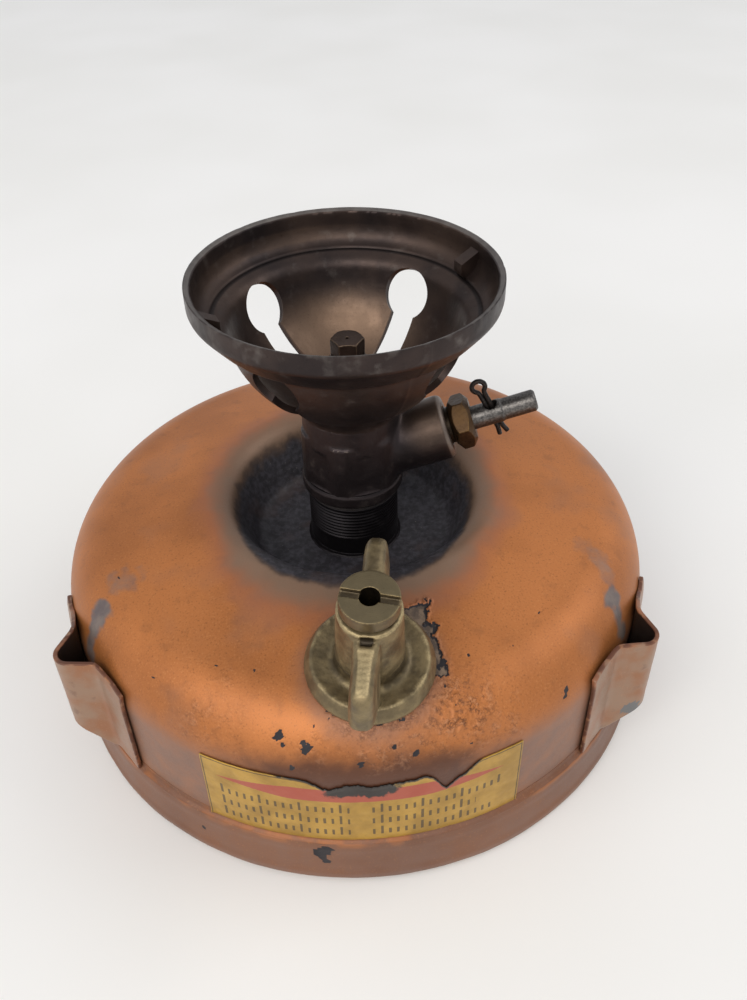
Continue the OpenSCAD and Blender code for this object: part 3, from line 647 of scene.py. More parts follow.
def copper_paint(name, light, dark):
    """Metallic copper paint with heat marks, soot, grey scuffs, torn places, a fuel run and grimy places, and
    painted shade down the tank's wall, round the cap and below it.
    """
    f = Finish(name, Coat_Weight=0.12, Coat_Roughness=0.36)
    torn, grey, rough = f.masks("wear_and_shading")
    soot, halo, grime_and_shade = f.masks("stain_and_shade")
    fuel_run_and_shade, pale, _ = f.masks("run")
    flake, blotch, wide = f.grain(0.45), f.grain(5, 5), f.grain(38, 3)
    f.over(f.step(wide, 0.36, 0.64), dark, light)
    f.over(f.step(flake, 0.54, 0.76, 0, 0.35), "d99d62")
    f.over(f.step(flake, 0.46, 0.26, 0, 0.5), "774522")
    f.over(f.step(blotch, 0.56, 0.74, 0, 0.25), "7f4f2f")
    # Grime, and on the tank painted shade down the wall and round the cap's flange
    f.over(f.times(grime_and_shade, f.step(blotch, 0.2, 0.7, 0.62, 0.95)), "7c5d4e")
    f.over(f.frayed(pale, blotch, 0.9, 0.3, 0.9, 0.75), "a0643a")
    f.over(f.frayed(halo, blotch, 0.3, 0.05, 0.75, 0.65), "a3674b")
    f.over(f.frayed(halo, blotch, 0.2, 0.5, 1.02, 0.95), "89705c")
    # Fuel run below the cap, which also carries painted shade where the shoulder turns down
    f.over(f.frayed(fuel_run_and_shade, blotch, 0.4, 0.05, 0.75, 0.9), "4e2b1a")
    crack, ragged = f.cells(0.9), f.grain(1.1, 6)
    crust = f.times(rough, f.step(f.grain(2.6, 5), 0.44, 0.6))
    f.over(f.times(crust, f.step(ragged, 0.46, 0.66, 0, 0.5)), "cf9972")
    lines = f.times(f.step(crack, 0.2, 0.02), f.step(ragged, 0.62, 0.42))
    f.over(f.times(crust, f.times(lines, 0.8)), "4f2d1d")
    speck = f.times(rough, f.step(f.grain(1.3, 6), 0.55, 0.68))
    f.over(f.times(speck, 0.45), "5b3a28")
    scuffed = f.frayed(grey, f.grain(2.4, 5), 0.5, 0.12, 0.95, 0.88)
    f.over(scuffed, f.mix(f.step(blotch, 0.35, 0.65), "5d5f64", "7f7a75"))
    bare = f.frayed(torn, f.grain(0.7, 4), 0.12, 0.14, 0.26)
    metal_below = f.mix(f.step(f.grain(2.0, 5), 0.4, 0.62), "5a4b40", "85705c")
    flaked = f.frayed(torn, f.grain(1.0, 4), 0.5, 0.5, 0.8)
    f.over(bare, f.mix(flaked, "221e22", metal_below))
    f.over(f.frayed(soot, f.grain(2.5, 4), 0.2, 0.0, 0.5, 0.75), "4b3c34")
    smoked = f.frayed(soot, f.grain(0.9, 4), 0.2, 0.2, 0.95)
    black = f.mix(f.step(f.grain(1.4, 5), 0.35, 0.7), "1f1c20", "3b383e")
    black = f.mix(f.step(f.grain(9, 4), 0.5, 0.7, 0, 0.5), black, "3a2a26")
    black = f.mix(f.step(f.grain(0.5, 2), 0.7, 0.78, 0, 0.5), black, "8b847c")
    f.over(smoked, black)
    dull = f.math("MAXIMUM", bare, smoked)
    shine = f.level(dull, f.step(flake, 0.3, 0.8, 0.44, 0.58), f.step(blotch, 0.3, 0.7, 0.5, 0.8))
    metal = f.level(f.math("MAXIMUM", dull, grime_and_shade), 0.5, 0.12)
    f.bump(flake, 0.014)
    f.bump(f.grain(1.8, 2), 0.02)
    f.bump(f.times(f.grain(0.5, 4), dull), 0.06)
    f.bump(f.times(crust, f.step(ragged, 0.3, 0.7)), 0.3)
    return f.done(Roughness=shine, Metallic=metal)


def bronze(name, dark, light, worn, heat="7d6552"):
    """Cast bronze darkened by fire, with worn edges, darkened creases, and tan heat patches that also carry
    painted sheen and painted light.
    """
    f = Finish(name, Metallic=0.75)
    edge, crease, heat_tan_and_light = f.masks("wear_and_shading")
    fine, blotch, wide = f.grain(0.5, 4), f.grain(3.5, 5), f.grain(16, 3)
    f.over(f.step(wide, 0.3, 0.7), light, dark)
    f.over(f.step(blotch, 0.56, 0.8, 0, 0.28), worn)
    # Tan heat colour, which also carries painted sheen in the bell's cove and painted light on the arm's
    # upper faces
    f.over(f.frayed(heat_tan_and_light, wide, 0.4, 0.1, 1.0, 0.9), heat)
    # Darkened creases and rings: soot, and painted shade in the bell's groove and above the body's lip
    f.over(f.times(crease, 0.75), "171314")
    f.over(f.frayed(edge, blotch, 0.6, 0.35, 0.9, 0.8), worn)
    f.over(f.step(fine, 0.56, 0.76, 0, 0.3), "1b1516")
    f.bump(fine, 0.018)
    f.bump(blotch, 0.02)
    return f.done(Roughness=f.step(blotch, 0.25, 0.75, 0.34, 0.5))


def brass(name, dark, light, worn, metallic=0.8, low=0.3, high=0.5):
    """Dull brass with bright worn edges, lighter places and darkened creases: grimy, with painted shade at
    the nut's neck and round the cap's stalk, and a painted highlight on the nut's front faces.
    """
    f = Finish(name, Metallic=metallic)
    edge, crease, lit = f.masks("wear_and_shading")
    fine, blotch = f.grain(0.4, 4), f.grain(4, 5)
    f.over(f.step(blotch, 0.3, 0.7), light, dark)
    f.over(f.step(fine, 0.56, 0.7, 0, 0.45), dark)
    f.over(f.frayed(edge, fine, 0.6, 0.3, 0.85, 0.85), worn)
    f.over(f.frayed(lit, blotch, 0.5, 0.3, 0.9, 0.8), worn)
    f.over(f.frayed(crease, blotch, 0.5, 0.2, 0.9, 0.9), "2a2219")
    f.bump(fine, 0.035)
    f.bump(f.grain(1.5, 3), 0.03)
    return f.done(Roughness=f.step(blotch, 0.25, 0.75, low, high))


def steel(name, dark, light, size, metallic=0.9):
    """Dull drawn steel, pitted and spotted with rust, with turning marks and a painted shade on its
    underside.
    """
    f = Finish(name, Metallic=metallic)
    _, _, under = f.masks("wear_and_shading")
    pits, blotch, rings = f.grain(size, 5), f.grain(3, 4), f.grain(0.4, 3, (1, 0.2, 0.2))
    f.over(f.step(pits, 0.3, 0.7), light, dark)
    f.over(f.step(blotch, 0.5, 0.75, 0, 0.6), "453a34")
    f.over(f.step(rings, 0.5, 0.7, 0, 0.35), dark)
    # Painted shade on the underside
    f.over(f.times(under, 0.75), "231d1b")
    f.bump(pits, 0.03)
    f.bump(rings, 0.03)
    f.bump(f.grain(0.35, 3), 0.015)
    return f.done(Roughness=f.step(blotch, 0.3, 0.7, 0.32, 0.5))


def plain(name, dark, light, size, rough, relief, stretch=(1, 1, 1), metallic=0.0):
    """A simple grained finish for inner pieces."""
    f = Finish(name, Metallic=metallic)
    grain = f.grain(size, 5, stretch)
    f.bump(grain, relief)
    f.over(f.step(grain, 0.3, 0.7), light, dark)
    return f.done(Roughness=f.step(grain, 0.3, 0.7, rough, min(rough + 0.15, 1)))


def label_foil():
    """Printed gold foil: red band, ink ticks, and burnt, dirty edges."""
    f = Finish("label_foil", Metallic=0.35, Coat_Weight=0.2, Coat_Roughness=0.3)
    red, ink, burn = f.masks("print")
    blotch, fine = f.grain(6, 5), f.grain(0.5, 3)
    f.over(f.step(blotch, 0.3, 0.7), "a07b30", "bd9338")
    f.over(f.step(fine, 0.55, 0.75, 0, 0.35), "8f6f2c")
    f.over(f.frayed(red, fine, 0.3, 0.35, 0.6, 0.92), "ab4a3c")
    f.over(f.frayed(ink, fine, 0.5, 0.35, 0.65, 0.85), "4a3a22")
    f.over(f.frayed(burn, f.grain(1.4, 5), 1.1, 0.3, 0.6), "2a2420")
    f.bump(fine, 0.01)
    return f.done(Roughness=f.step(blotch, 0.3, 0.7, 0.32, 0.5))


# Tank

# Turn between mesh lines by the filler and elsewhere, and where it changes
FINE_TURN, COARSE_TURN = 0.28, 1.0
FINE_WITHIN, COARSE_BEYOND = 28.0, 48.0
# Distances between mesh rings
WALL_STEP, SHOULDER_STEP, TOP_STEP = 0.8, 0.38, 0.5
DRILL_REACH = 12.0
# Radius of the soot round the pan, how far it reaches out in front, and the width of the browned paint
SOOT_R, SOOT_REACH, HALO_W = 30.0, 7.3, 17.0


def tank_columns():
    """Directions of the tank's mesh lines, closer together round the filler."""
    places = [0.0]
    while places[-1] < 360:
        share = float(ramp(abs(places[-1] - 180), FINE_WITHIN, COARSE_BEYOND))
        places.append(places[-1] + FINE_TURN + (COARSE_TURN - FINE_TURN) * share)
    return FILLER_TURN - 180 + np.array(places[:-1]) * 360 / places[-1]


def tank_row_step(place):
    """Distance between the tank's mesh rings: fine on the top, wider on the wall."""
    r, z = place
    if z < SHOULDER_Z - 2:
        return WALL_STEP
    return SHOULDER_STEP if r > PAN_R + 5.3 else TOP_STEP


# Dark chips in the paint: direction, radius and size
CHIPS = [
    (-104.5, 71.5, 1.1), (-103.5, 72.5, 0.5), (-99.5, 72.5, 1.2), (-100, 72, 0.8), (-102, 74.5, 0.7),
    (-85, 72.5, 0.6), (-81.5, 73.5, 0.8), (-90.5, 74, 0.8), (-106, 44, 0.5), (-67, 60, 0.4),
    (-73.5, 40.5, 0.7), (-52, 73.5, 0.8), (-52.5, 74, 0.6), (-63.5, 47, 0.3), (-35, 52, 0.4), (-112, 61, 0.3),
]
# Grey scuffs: direction, radius, size and strength
SCUFFS = [
    (-150.5, 69.5, 3.4, 1.0), (-150, 72, 2.4, 0.9), (-149.5, 73.5, 2.4, 0.85), (-149, 74.5, 3.0, 0.7),
    (-154, 61, 4.6, 0.5), (-31, 70, 3.4, 1.0), (-32, 72, 2.6, 0.9), (-32.5, 74, 2.4, 0.85),
    (-27, 67, 3.4, 0.5), (-24, 63.5, 3.6, 0.45), (-21.5, 60, 3.2, 0.35),
]
SPECKS, SPECK_SEED = 26, 11
# Chips on the skirt and scuffs on a clip: direction, radius and height, and size
SKIRT_CHIPS = [((-97.5, 77, 10.5), 2.1), ((-97, 77.4, 7.5), 1.1), ((-120, 77.2, 8), 0.7)]
CLIP_SCUFFS = [((-35.5, 81, 20), 2.4), ((-38, 79.5, 27), 0.7)]
# Beads of the skirt: height, width and relief
BEADS = [(3.2, 0.9, 0.25), (11.6, 1.0, 0.12)]


def polar(angle, r, z):
    return np.array([r * cos(radians(angle)), r * sin(radians(angle)), z])


def skin_z(r):
    """Height of the tank's top or shoulder at a radius."""
    up = SHOULDER_R**2 - max(r - TANK_R + SHOULDER_R, 0) ** 2
    return min(top_z(r), SHOULDER_Z + np.sqrt(up))


def spots(points, marks, ragged, soft=0.14):
    """Strongest of a list of ragged spots, each with its place, size and strength, from 0 to 1."""
    field = np.zeros(len(points))
    for place, size, strength in marks:
        near = np.linalg.norm(points - place, axis=1) + ragged * size * 0.6
        field = np.maximum(field, strength * ramp(near, size * (1 + soft), size * (1 - soft)))
    return field


def on_skin(marks):
    """Marks on the tank's top and shoulder, put at their places."""
    return [(polar(angle, r, skin_z(r)), size, (rest or [1.0])[0]) for angle, r, size, *rest in marks]


def on_wall(marks):
    """Marks on the skirt or a clip, put at their places."""
    return [(polar(*place), size, 1.0) for place, size in marks]


def tank_skin():
    """The tank's shell with its sunken pan, open for the filler neck."""
    outside = rounded(
        [(TANK_R, SHELL_FOOT), (TANK_R, top_z(TANK_R)), (PAN_R, MOUTH_Z), (PAN_FLOOR_R, PAN_Z),
            (SOCKET_R + 0.05, PAN_Z)],
        [0, SHOULDER_R, PAN_LIP_R, PAN_CORNER_R, 0], 1.0,
    )
    outer = spaced(outside, tank_row_step)
    inner = spaced(beside(outside, SHELL_T), lambda p: 4.0)
    obj = lathe("tank_skin", np.vstack([outer, inner[::-1]]), tank_columns())
    return cut_filler_hole(obj)


def cut_filler_hole(obj):
    """Opens the shell for the filler neck."""
    a = np.linspace(0, 2 * pi, 128, endpoint=False)
    outline = (NECK_R + 0.05) * np.column_stack([np.cos(a), np.sin(a)])
    return carve(obj, prism("filler_drill", outline, -DRILL_REACH, DRILL_REACH, FILLER))


def wear_tank(obj):
    """Paint loss, scuffs, soot and relief of the tank, as fields over its surface."""
    p = points_of(obj)
    r, z, angle = off_axis(p), p[:, 2], bearing(p)
    broad, middle, small = cloud(p, 16, 1), cloud(p, 4, 2, 4), cloud(p, 1.2, 3)

    # Torn paint beside the cap, by the angle round the cap, where 0 is to the right and 90 inwards
    q = to_frame(p, FILLER)
    from_cap, round_cap = off_axis(q), np.degrees(np.arctan2(-q[:, 0], q[:, 1]))
    reach = CAP_R - 1.6 + 7.8 * hump(round_cap, 47, 12) + 3.8 * span(round_cap, -14, 34, 4)
    edge = reach + 1.5 * middle + 1.0 * small - from_cap
    on_top = ramp(z, 40, 44)
    torn = (0.4 * ramp(edge, -0.12, 0.12) + 0.6 * ramp(edge, 0.4, 1.5)) * on_top
    curl = hump(edge, 0, 0.6) * (edge < 0.1) * on_top * ramp(reach, CAP_R - 0.5, CAP_R + 1)

    chips = spots(p, on_skin(CHIPS + specks()), small)
    grey = spots(p, on_skin(SCUFFS), middle, 0.45)
    front = span(angle, -122, -58, 6)
    rough = front * ramp(r, 57, 66) * ramp(z, 36, 41) * ramp(broad, -0.4, 0.5)
    blister = bulge(p, polar(-72.5, 69.6, 47.4), 8)
    rough = most(rough * 0.55, blister)

    # Soot reaches over the lip in front, and the paint round it is browned
    across = np.abs(turned_from(angle, -93))
    soot_edge = SOOT_R + SOOT_REACH * ramp(across, 82, 12) + 0.6 * middle
    soot = ramp(r, soot_edge + 1.6, soot_edge - 1.4) * ramp(z, 38, 40)
    halo = ramp(r, soot_edge + HALO_W + 5 * broad, soot_edge) * ramp(z, 46, 50)
    # Painted shadow of the cap round its flange, with grime; below the shoulder the paint is darkened
    # downwards as painted shade
    cap_shadow_and_grime = ramp(from_cap + 0.8 * middle, CAP_R + 4.5, CAP_R - 0.5) * on_top
    grime_and_shade = most(ramp(z, 43, 32), 0.3 * ramp(broad, 0.1, 0.8), 0.6 * cap_shadow_and_grime)
    # Fuel has run down the shoulder below the cap, and this also paints shade where the shoulder turns down
    run = span(angle + 2.0 * broad, -112, -70, 11) * span(z, 23, 42, 6) * (0.8 + 0.15 * middle)
    layer(obj, "wear_and_shading", most(torn, 0.4 * chips), grey, rough)
    layer(obj, "stain_and_shade", soot, halo, grime_and_shade)
    layer(obj, "run", run)

    lumps = 0.45 * blister * (np.abs(small) - 0.3) + 0.1 * rough * small
    dents = -0.5 * bulge(p, polar(-112, 70, 47), 9)
    waves = 0.12 * cloud(p, 30, 5, 2) * ramp(z, 36, 30)
    flaking = 0.28 * curl - 0.2 * ramp(torn, 0, 0.4) - 0.1 * chips
    push(obj, flaking + lumps + dents + waves + 0.05 * soot * small)


def specks():
    """Small dark specks strewn over the front of the tank."""
    chance = np.random.default_rng(SPECK_SEED)
    return [
        (chance.normal(-90, 34), chance.uniform(46, 74), chance.uniform(0.16, 0.3)) for _ in range(SPECKS)
    ]


# Base

def base_skirt():
    """The base with its flared skirt, rolled top edge and foot ring."""
    foot_in = FOOT_R - FOOT_W
    under = rounded(
        [(SKIRT_TOP_R, SKIRT_H), (FOOT_R, 0), (foot_in, 0),
            (foot_in - FLOOR_SLOPE_W, FLOOR_Z), (0.4, FLOOR_Z)],
        [0, FOLD_R, FOLD_R, FOLD_R, 0], 6.0,
    )

    def gap(place):
        return 0.6 if place[0] > foot_in else 2.5

    section = np.vstack([spaced(under, gap), spaced(beside(under, -BASE_T), gap)[::-1]])
    obj = bevel(lathe("base_skirt", section, np.arange(0, 360, TURN_STEP)), 0.35, 3)
    p = points_of(obj)
    z = p[:, 2]
    small, broad = cloud(p, 2.0, 7), cloud(p, 12, 8)
    outside = ramp(off_axis(p), SKIRT_TOP_R - 0.4, SKIRT_TOP_R)
    worn = ramp(z, SKIRT_H - 2.6, SKIRT_H) * ramp(broad, -0.6, 0.3)
    chips = spots(p, on_wall(SKIRT_CHIPS), small)
    layer(obj, "wear_and_shading", 0.4 * chips)
    layer(obj, "stain_and_shade", b=0.64 + 0.25 * broad)
    layer(obj, "run", g=worn)
    beads = sum(relief * hump(z, height, width) for height, width, relief in BEADS)
    push(obj, outside * (beads + 0.1 * broad - 0.1 * chips))
    return obj


def base_seam():
    """The painted fillet between the tank's wall and the skirt's upper edge."""
    ledge = SKIRT_TOP_R - TANK_R
    corners = [
        (-0.1, -0.7, 0), (ledge + 0.06, -0.7, 0), (ledge - 0.1, -0.05, 0.5),
        (0.35, 0.5, 1.2), (0.02, 1.7, 0), (-0.1, 1.7, 0),
    ]
    obj = ring("base_seam", (TANK_R, SKIRT_H), corners, 0.15, TURN_STEP)
    p = points_of(obj)
    broad, small = cloud(p, 14, 3), cloud(p, 2, 4)
    worn = 0.8 * ramp(broad + 0.5 * small, -0.7, 0.6)
    layer(obj, "wear_and_shading")
    layer(obj, "stain_and_shade", b=0.6 * (1 - worn))
    layer(obj, "run", g=worn)
    push(obj, 0.05 * small)
    return obj


# Clips

def clip_sheet(node, turn_to, far_side):
    """A strip of sheet bent out into a pocket, with wings that hug the shoulder."""
    foot, end = POCKET_W / 2, POCKET_W / 2 + CLIP_WING

    def end_on(side):
        """Where the wing on a side ends."""
        return end + CLIP_FAR_WING * (side == far_side)

    def upper(s):
        """Height of the sheet's upper edge, which falls along the wings."""
        return CLIP_TOP - CLIP_FALL * np.clip((s - foot) / CLIP_WING, 0, 1)

    def wing(side):
        a = np.append(np.linspace(end_on(side), foot + 2.5, 7), foot) / TANK_R
        return [(CLIP_IN_R * cos(t), side * CLIP_IN_R * sin(t)) for t in a]

    tip = [(POCKET_TIP_R, -POCKET_TIP_W / 2), (POCKET_TIP_R, POCKET_TIP_W / 2)]
    bends = [0] * 7 + [POCKET_FOOT_BEND, POCKET_TIP_BEND]
    path = rounded(wing(-1) + tip + wing(1)[::-1], bends + bends[::-1], 8.0)
    path = spaced(path, lambda p: 0.55)
    outer_path = beside(path, -CLIP_T)
    far = np.sign(path[:, 1]) == far_side
    side = np.abs(bearing(path)) * radians(1) * TANK_R
    hug = np.where(far, CLIP_FAR_HUG, CLIP_HUG) * ramp(side, foot, end) * (path[:, 0] < CLIP_IN_R + 2)
    lift = np.where(far, 0, CLIP_LIFT) * ramp(side, end - 5, end)
    cut_from = CLIP_IN_R + CLIP_T + 0.5
    low_z = CLIP_LOW + POCKET_CUT_H * np.clip((outer_path[:, 0] - cut_from) / POCKET_CUT_L, 0, 1)
    rows = np.linspace(0, 1, CLIP_ROWS)[:, None]
    z = low_z + (upper(side) - low_z) * rows
    inward = (TANK_R - wall_r(z)) * hug - lift

    def grid(line):
        share = 1 - inward / off_axis(line)
        return np.stack([line[:, 0] * share, line[:, 1] * share, z], -1)

    obj = sheet(node + "_sheet", grid(outer_path), grid(path))
    obj.data.transform(turn(turn_to, "Z"))
    p = points_of(bevel(obj, 0.28, 2))
    broad, small = cloud(p, 9, 9), cloud(p, 1.6, 10)
    away = turned_from(bearing(p), turn_to) * radians(1) * TANK_R
    from_end = end_on(np.sign(away)) - np.abs(away)
    border = np.minimum(from_end, upper(np.abs(away)) - p[:, 2])
    worn = ramp(border, 0.6, 0.2) * ramp(small, -0.9, 0.2)
    # Painted shade on the faces that look in towards the tank
    inside = ramp((normals_of(obj)[:, :2] * p[:, :2]).sum(1) / off_axis(p), -0.15, -0.5)
    scuff = spots(p, on_wall(CLIP_SCUFFS), small)
    layer(obj, "wear_and_shading", worn, inside, scuff)
    layer(obj, "stain_and_shade", 0.5 + 0.5 * broad)
    push(obj, 0.06 * broad)
    return obj


def clip_paint():
    """Dull copper paint on the clips, with bright worn edges and painted shade on the inner face."""
    f = Finish("clip_paint", Coat_Weight=0.3, Coat_Roughness=0.36)
    worn, inside, scuff = f.masks("wear_and_shading")
    grime_and_shade, _, _ = f.masks("stain_and_shade")
    flake, blotch = f.grain(0.42), f.grain(4, 5)
    f.over(f.frayed(grime_and_shade, blotch, 0.8, 0.2, 0.8), "997a63", "986542")
    f.over(f.step(flake, 0.54, 0.75, 0, 0.4), "ba8b6b")
    f.over(f.step(blotch, 0.6, 0.75, 0, 0.45), "6d4634")
    f.over(f.frayed(scuff, blotch, 0.5, 0.35, 0.6), "6f6e6e")
    # Painted shade on the inner faces, which are also made dull
    f.over(inside, "1d1715")
    bright = f.mix(f.step(f.grain(9, 3), 0.5, 0.7), "5e3524", "a86f4d")
    f.over(f.frayed(worn, f.grain(1.0, 3), 0.5, 0.3, 0.8, 0.85), bright)
    f.bump(flake, 0.015)
    f.bump(f.grain(2, 2), 0.02)
    metal = f.level(inside, 0.45, 0.0)
    return f.done(Roughness=f.step(flake, 0.3, 0.8, 0.38, 0.52), Metallic=metal)


# Label

# Tears in the upper edge: depth, place and width, as shares of the label's width from the left
TEARS = [(2.8, 0.40, 0.05), (2.0, 0.53, 0.07), (1.1, 0.635, 0.05), (5.6, 0.745, 0.035), (3.0, 0.80, 0.035)]
LABEL_COLS, LABEL_ROWS = 520, 160


def label_sheet():
    """The label on the wall, with a torn and lifted upper edge, and its print as fields."""
    width = radians(LABEL_TO - LABEL_FROM) * TANK_R
    u = np.linspace(0, 1, LABEL_COLS)
    along = np.column_stack([u * width, 0 * u, 0 * u])
    torn = sum(depth * hump(u, place, wide) for depth, place, wide in TEARS)
    jag = np.clip(torn / 1.5, 0, 1) * (0.55 * cloud(along, 2.2, 1, 4) + 0.25 * cloud(along, 0.6, 2, 2))
    top = LABEL_H - np.maximum(torn + jag, 0) - 0.1 * np.abs(cloud(along, 3, 3))
    share = np.linspace(0, 1, LABEL_ROWS)[:, None]
    v = share * top
    x = u * width + 0 * v
    z = LABEL_LOW + v
    angle = np.radians(LABEL_FROM + (LABEL_TO - LABEL_FROM) * u) + 0 * v
    curl = 0.06 * np.clip(torn, 0, 1) * ramp(share, 0.93, 1.0)
    curl = curl + 0.18 * ramp(u, 0.02, 0) * ramp(share, 0.12, 0)
    wave = 0.05 * cloud(np.stack([x, v, 0 * v], -1).reshape(-1, 3), 5, 4).reshape(v.shape)
    base_r = wall_r(z) + 0.06 + np.maximum(curl + wave + 0.05, 0)

    def grid(r):
        return np.stack([r * np.cos(angle), r * np.sin(angle), z], -1)

    obj = sheet("label_sheet", grid(base_r + LABEL_T), grid(base_r))
    fields = label_print(x, v, width, top - v, u)
    layer(obj, "print", *(np.tile(field.ravel(), 2) for field in fields))
    return obj


# Rows of ink ticks: height and two ends of each row, a break in all of them, gap and heights of a tick
TICK_ROWS = [(11.2, 4.5, 68.0), (6.9, 4.5, 62.0), (2.6, 4.5, 66.0)]
TICK_BREAK = (33.5, 37.5)
TICK_GAP, TICK_H, LONG_TICK_H = 1.8, 2.0, 3.2
# Red band: middle and half height, distance from the label's sides, and length of its tapered ends
RED_MID, RED_HALF = 17.2, 2.2
RED_LEFT, RED_RIGHT, RED_TAPER = 3.5, 4.5, 17.0


def label_print(x, v, width, below_edge, u):
    """A red band that tapers to both ends, rows of ink ticks, and burnt edges."""
    taper = np.clip(np.minimum(x - RED_LEFT, width - RED_RIGHT - x) / RED_TAPER, 0, 1)
    red = ramp(np.abs(v - RED_MID - 0.4 * taper) - RED_HALF * taper, 0.08, -0.08) * (taper > 0)
    ink = np.zeros_like(x)
    for low, left, right in TICK_ROWS:
        count = np.round((x - left) / TICK_GAP)
        off = np.abs((x - left) / TICK_GAP - count) * TICK_GAP
        tall = np.where(count % 5 == 0, LONG_TICK_H, TICK_H)
        row = ramp(off, 0.36, 0.24) * ramp(np.abs(v - low - tall / 2), tall / 2 + 0.06, tall / 2 - 0.06)
        ink = most(ink, row * span(x, left - 0.5, right, 0.2) * (1 - span(x, *TICK_BREAK, 0.2)))
    scorch = span(u, 0.40, 0.60, 0.05) * ramp(below_edge, 6.0, 1.2)
    singed = 0.7 * span(u, 0.24, 0.86, 0.03) * ramp(below_edge, 0.6, 0.05)
    border = np.minimum(np.minimum(x, width - x), np.minimum(v, below_edge))
    return red, most(ink, 0.8 * span(border, 0.25, 0.6, 0.12)), most(scorch, singed)


# Burner

def burner_socket():
    """The screwed socket in the pan, with a cut thread."""
    outside = [
        (SOCKET_BORE_R, SOCKET_LOW), (FLANGE_R, SOCKET_LOW), (FLANGE_R, SOCKET_LOW + FLANGE_T),
        (SOCKET_R, SOCKET_LOW + FLANGE_T), (SOCKET_R, SOCKET_TOP - 0.3), (SOCKET_R - 0.3, SOCKET_TOP),
        (SPIGOT_R, SOCKET_TOP), (SPIGOT_R, SPIGOT_TOP), (SOCKET_BORE_R, SPIGOT_TOP),
    ]
    path = spaced(np.array(outside, float), lambda p: 0.1 if p[0] > SOCKET_R - 0.1 else 0.8)
    obj = lathe("socket_thread", path, np.arange(0, 360, 2.0))
    p = points_of(obj)
    r, z, angle = off_axis(p), p[:, 2], bearing(p)
    cut = np.abs(2 * ((z / THREAD_PITCH - angle / 360) % 1) - 1)
    on_thread = span(z, THREAD_LOW, THREAD_TOP, 0.5) * (np.abs(r - SOCKET_R) < 0.05)
    worn_down = 0.4 + 0.6 * hump(angle, -135, 45)
    share = 1 - on_thread * THREAD_DEPTH * cut * worn_down / np.maximum(r, 1)
    moved = np.column_stack([p[:, 0] * share, p[:, 1] * share, z])
    place_points(obj, moved)
    small = cloud(moved, 1.5, 4)
    layer(obj, "wear_and_shading", on_thread * (1 - cut) * 0.3 * worn_down * ramp(small, -0.3, 0.6), 0.7)
    return obj


def braze(name, place, corners, steps, relief, grain, low, high, dirt_and_shade):
    """A ring of braze, smooth up to one height from its place and rough from another."""
    obj = ring(name, place, corners, *steps)
    p = points_of(obj)
    push(obj, relief * cloud(p, grain, 6) * ramp(p[:, 2] - place[1], low, high))
    layer(obj, "wear_and_shading", g=dirt_and_shade)
    return obj


def bowl_at(depth, skin=0.0):
    """Radius of the bowl's inside at a depth below the rim, or of its outside with the wall as skin."""
    return (BOWL_R + skin) * np.sqrt(1 - ((depth - BOWL_TOP) / (BOWL_DEPTH + skin)) ** 2)


def bell_section():
    """Closed section of the bell's wall: up the outside, over the bevelled rim and down the inside."""
    floor_d = RIM_Z - BELL_Z
    band_r = RIM_R - BELL_T
    path, radii = [], []

    def follow(points, *roundings):
        path.extend(points)
        radii.extend(roundings or [0] * len(points))

    follow([(BELL_HOLE_R, floor_d), (STEM_R, floor_d)])
    follow([(bowl_at(d, BELL_T), d) for d in np.linspace(BOWL_OUT_TO, BOWL_FROM, 40)])
    follow([LEDGE_UNDER, LEDGE_OUT, (RIM_R, BAND_LOW), (RIM_R, 0.0)], 1.8, 4.0, 2.4, 0.25)
    follow([(band_r + 0.1, RIM_BEVEL_H), (band_r, RIM_BEVEL_H + 0.3)], 0.2, 0)
    arc = np.radians(np.linspace(0, 84, 18))
    follow([(band_r - COVE_W * (1 - cos(a)), BAND_H + COVE_H * sin(a)) for a in arc])
    cove_r = band_r - COVE_W
    follow([(cove_r + 0.05, GROOVE_D), (cove_r - 0.35, LEDGE_EDGE_D), (LEDGE_R, LEDGE_D)], 0, 0.2, 4.0)
    follow([(bowl_at(d), d) for d in np.linspace(BOWL_FROM, BOWL_TO, 40)])
    follow([(STEM_R - BELL_T, floor_d - BELL_T), (BELL_HOLE_R, floor_d - BELL_T)], 0.8, 0)
    follow([(BELL_HOLE_R, floor_d)])
    section = spaced(rounded(path, radii, 8.0), lambda p: 0.42 if p[1] < 16 else 0.55)[:-1]
    return np.column_stack([section[:, 0], RIM_Z - section[:, 1]])


def keyhole(turn_to):
    """A cutter for one keyhole, from its round head down the bowl to its rounded end."""
    head = np.array([bowl_at(BOWL_TOP + KEY_DROP), -BOWL_TOP - KEY_DROP])
    end = np.array([KEY_END_R, -BOWL_TOP - BOWL_DEPTH * np.sqrt(1 - (KEY_END_R / BOWL_R) ** 2)])
    run = np.linalg.norm(head - end)
    lean = np.degrees(np.arctan2(*(head - end)[::-1]))
    neck = np.degrees(np.arcsin(KEY_SLOT_W / 2 / KEY_HEAD_R))
    round_head = np.radians(np.linspace(neck, 360 - neck, 60))
    round_end = np.radians(np.linspace(-90, 90, 24))
    outline = [(KEY_HEAD_R * cos(a), KEY_HEAD_R * sin(a)) for a in round_head]
    outline += [(run + KEY_SLOT_W / 2 * cos(a), KEY_SLOT_W / 2 * sin(a)) for a in round_end]
    place = turn(turn_to, "Z") @ shift(head[0], 0, RIM_Z + head[1]) @ turn(180 - lean, "Y")
    return prism("keyhole_cutter", outline, -KEY_CUT, KEY_CUT, place)


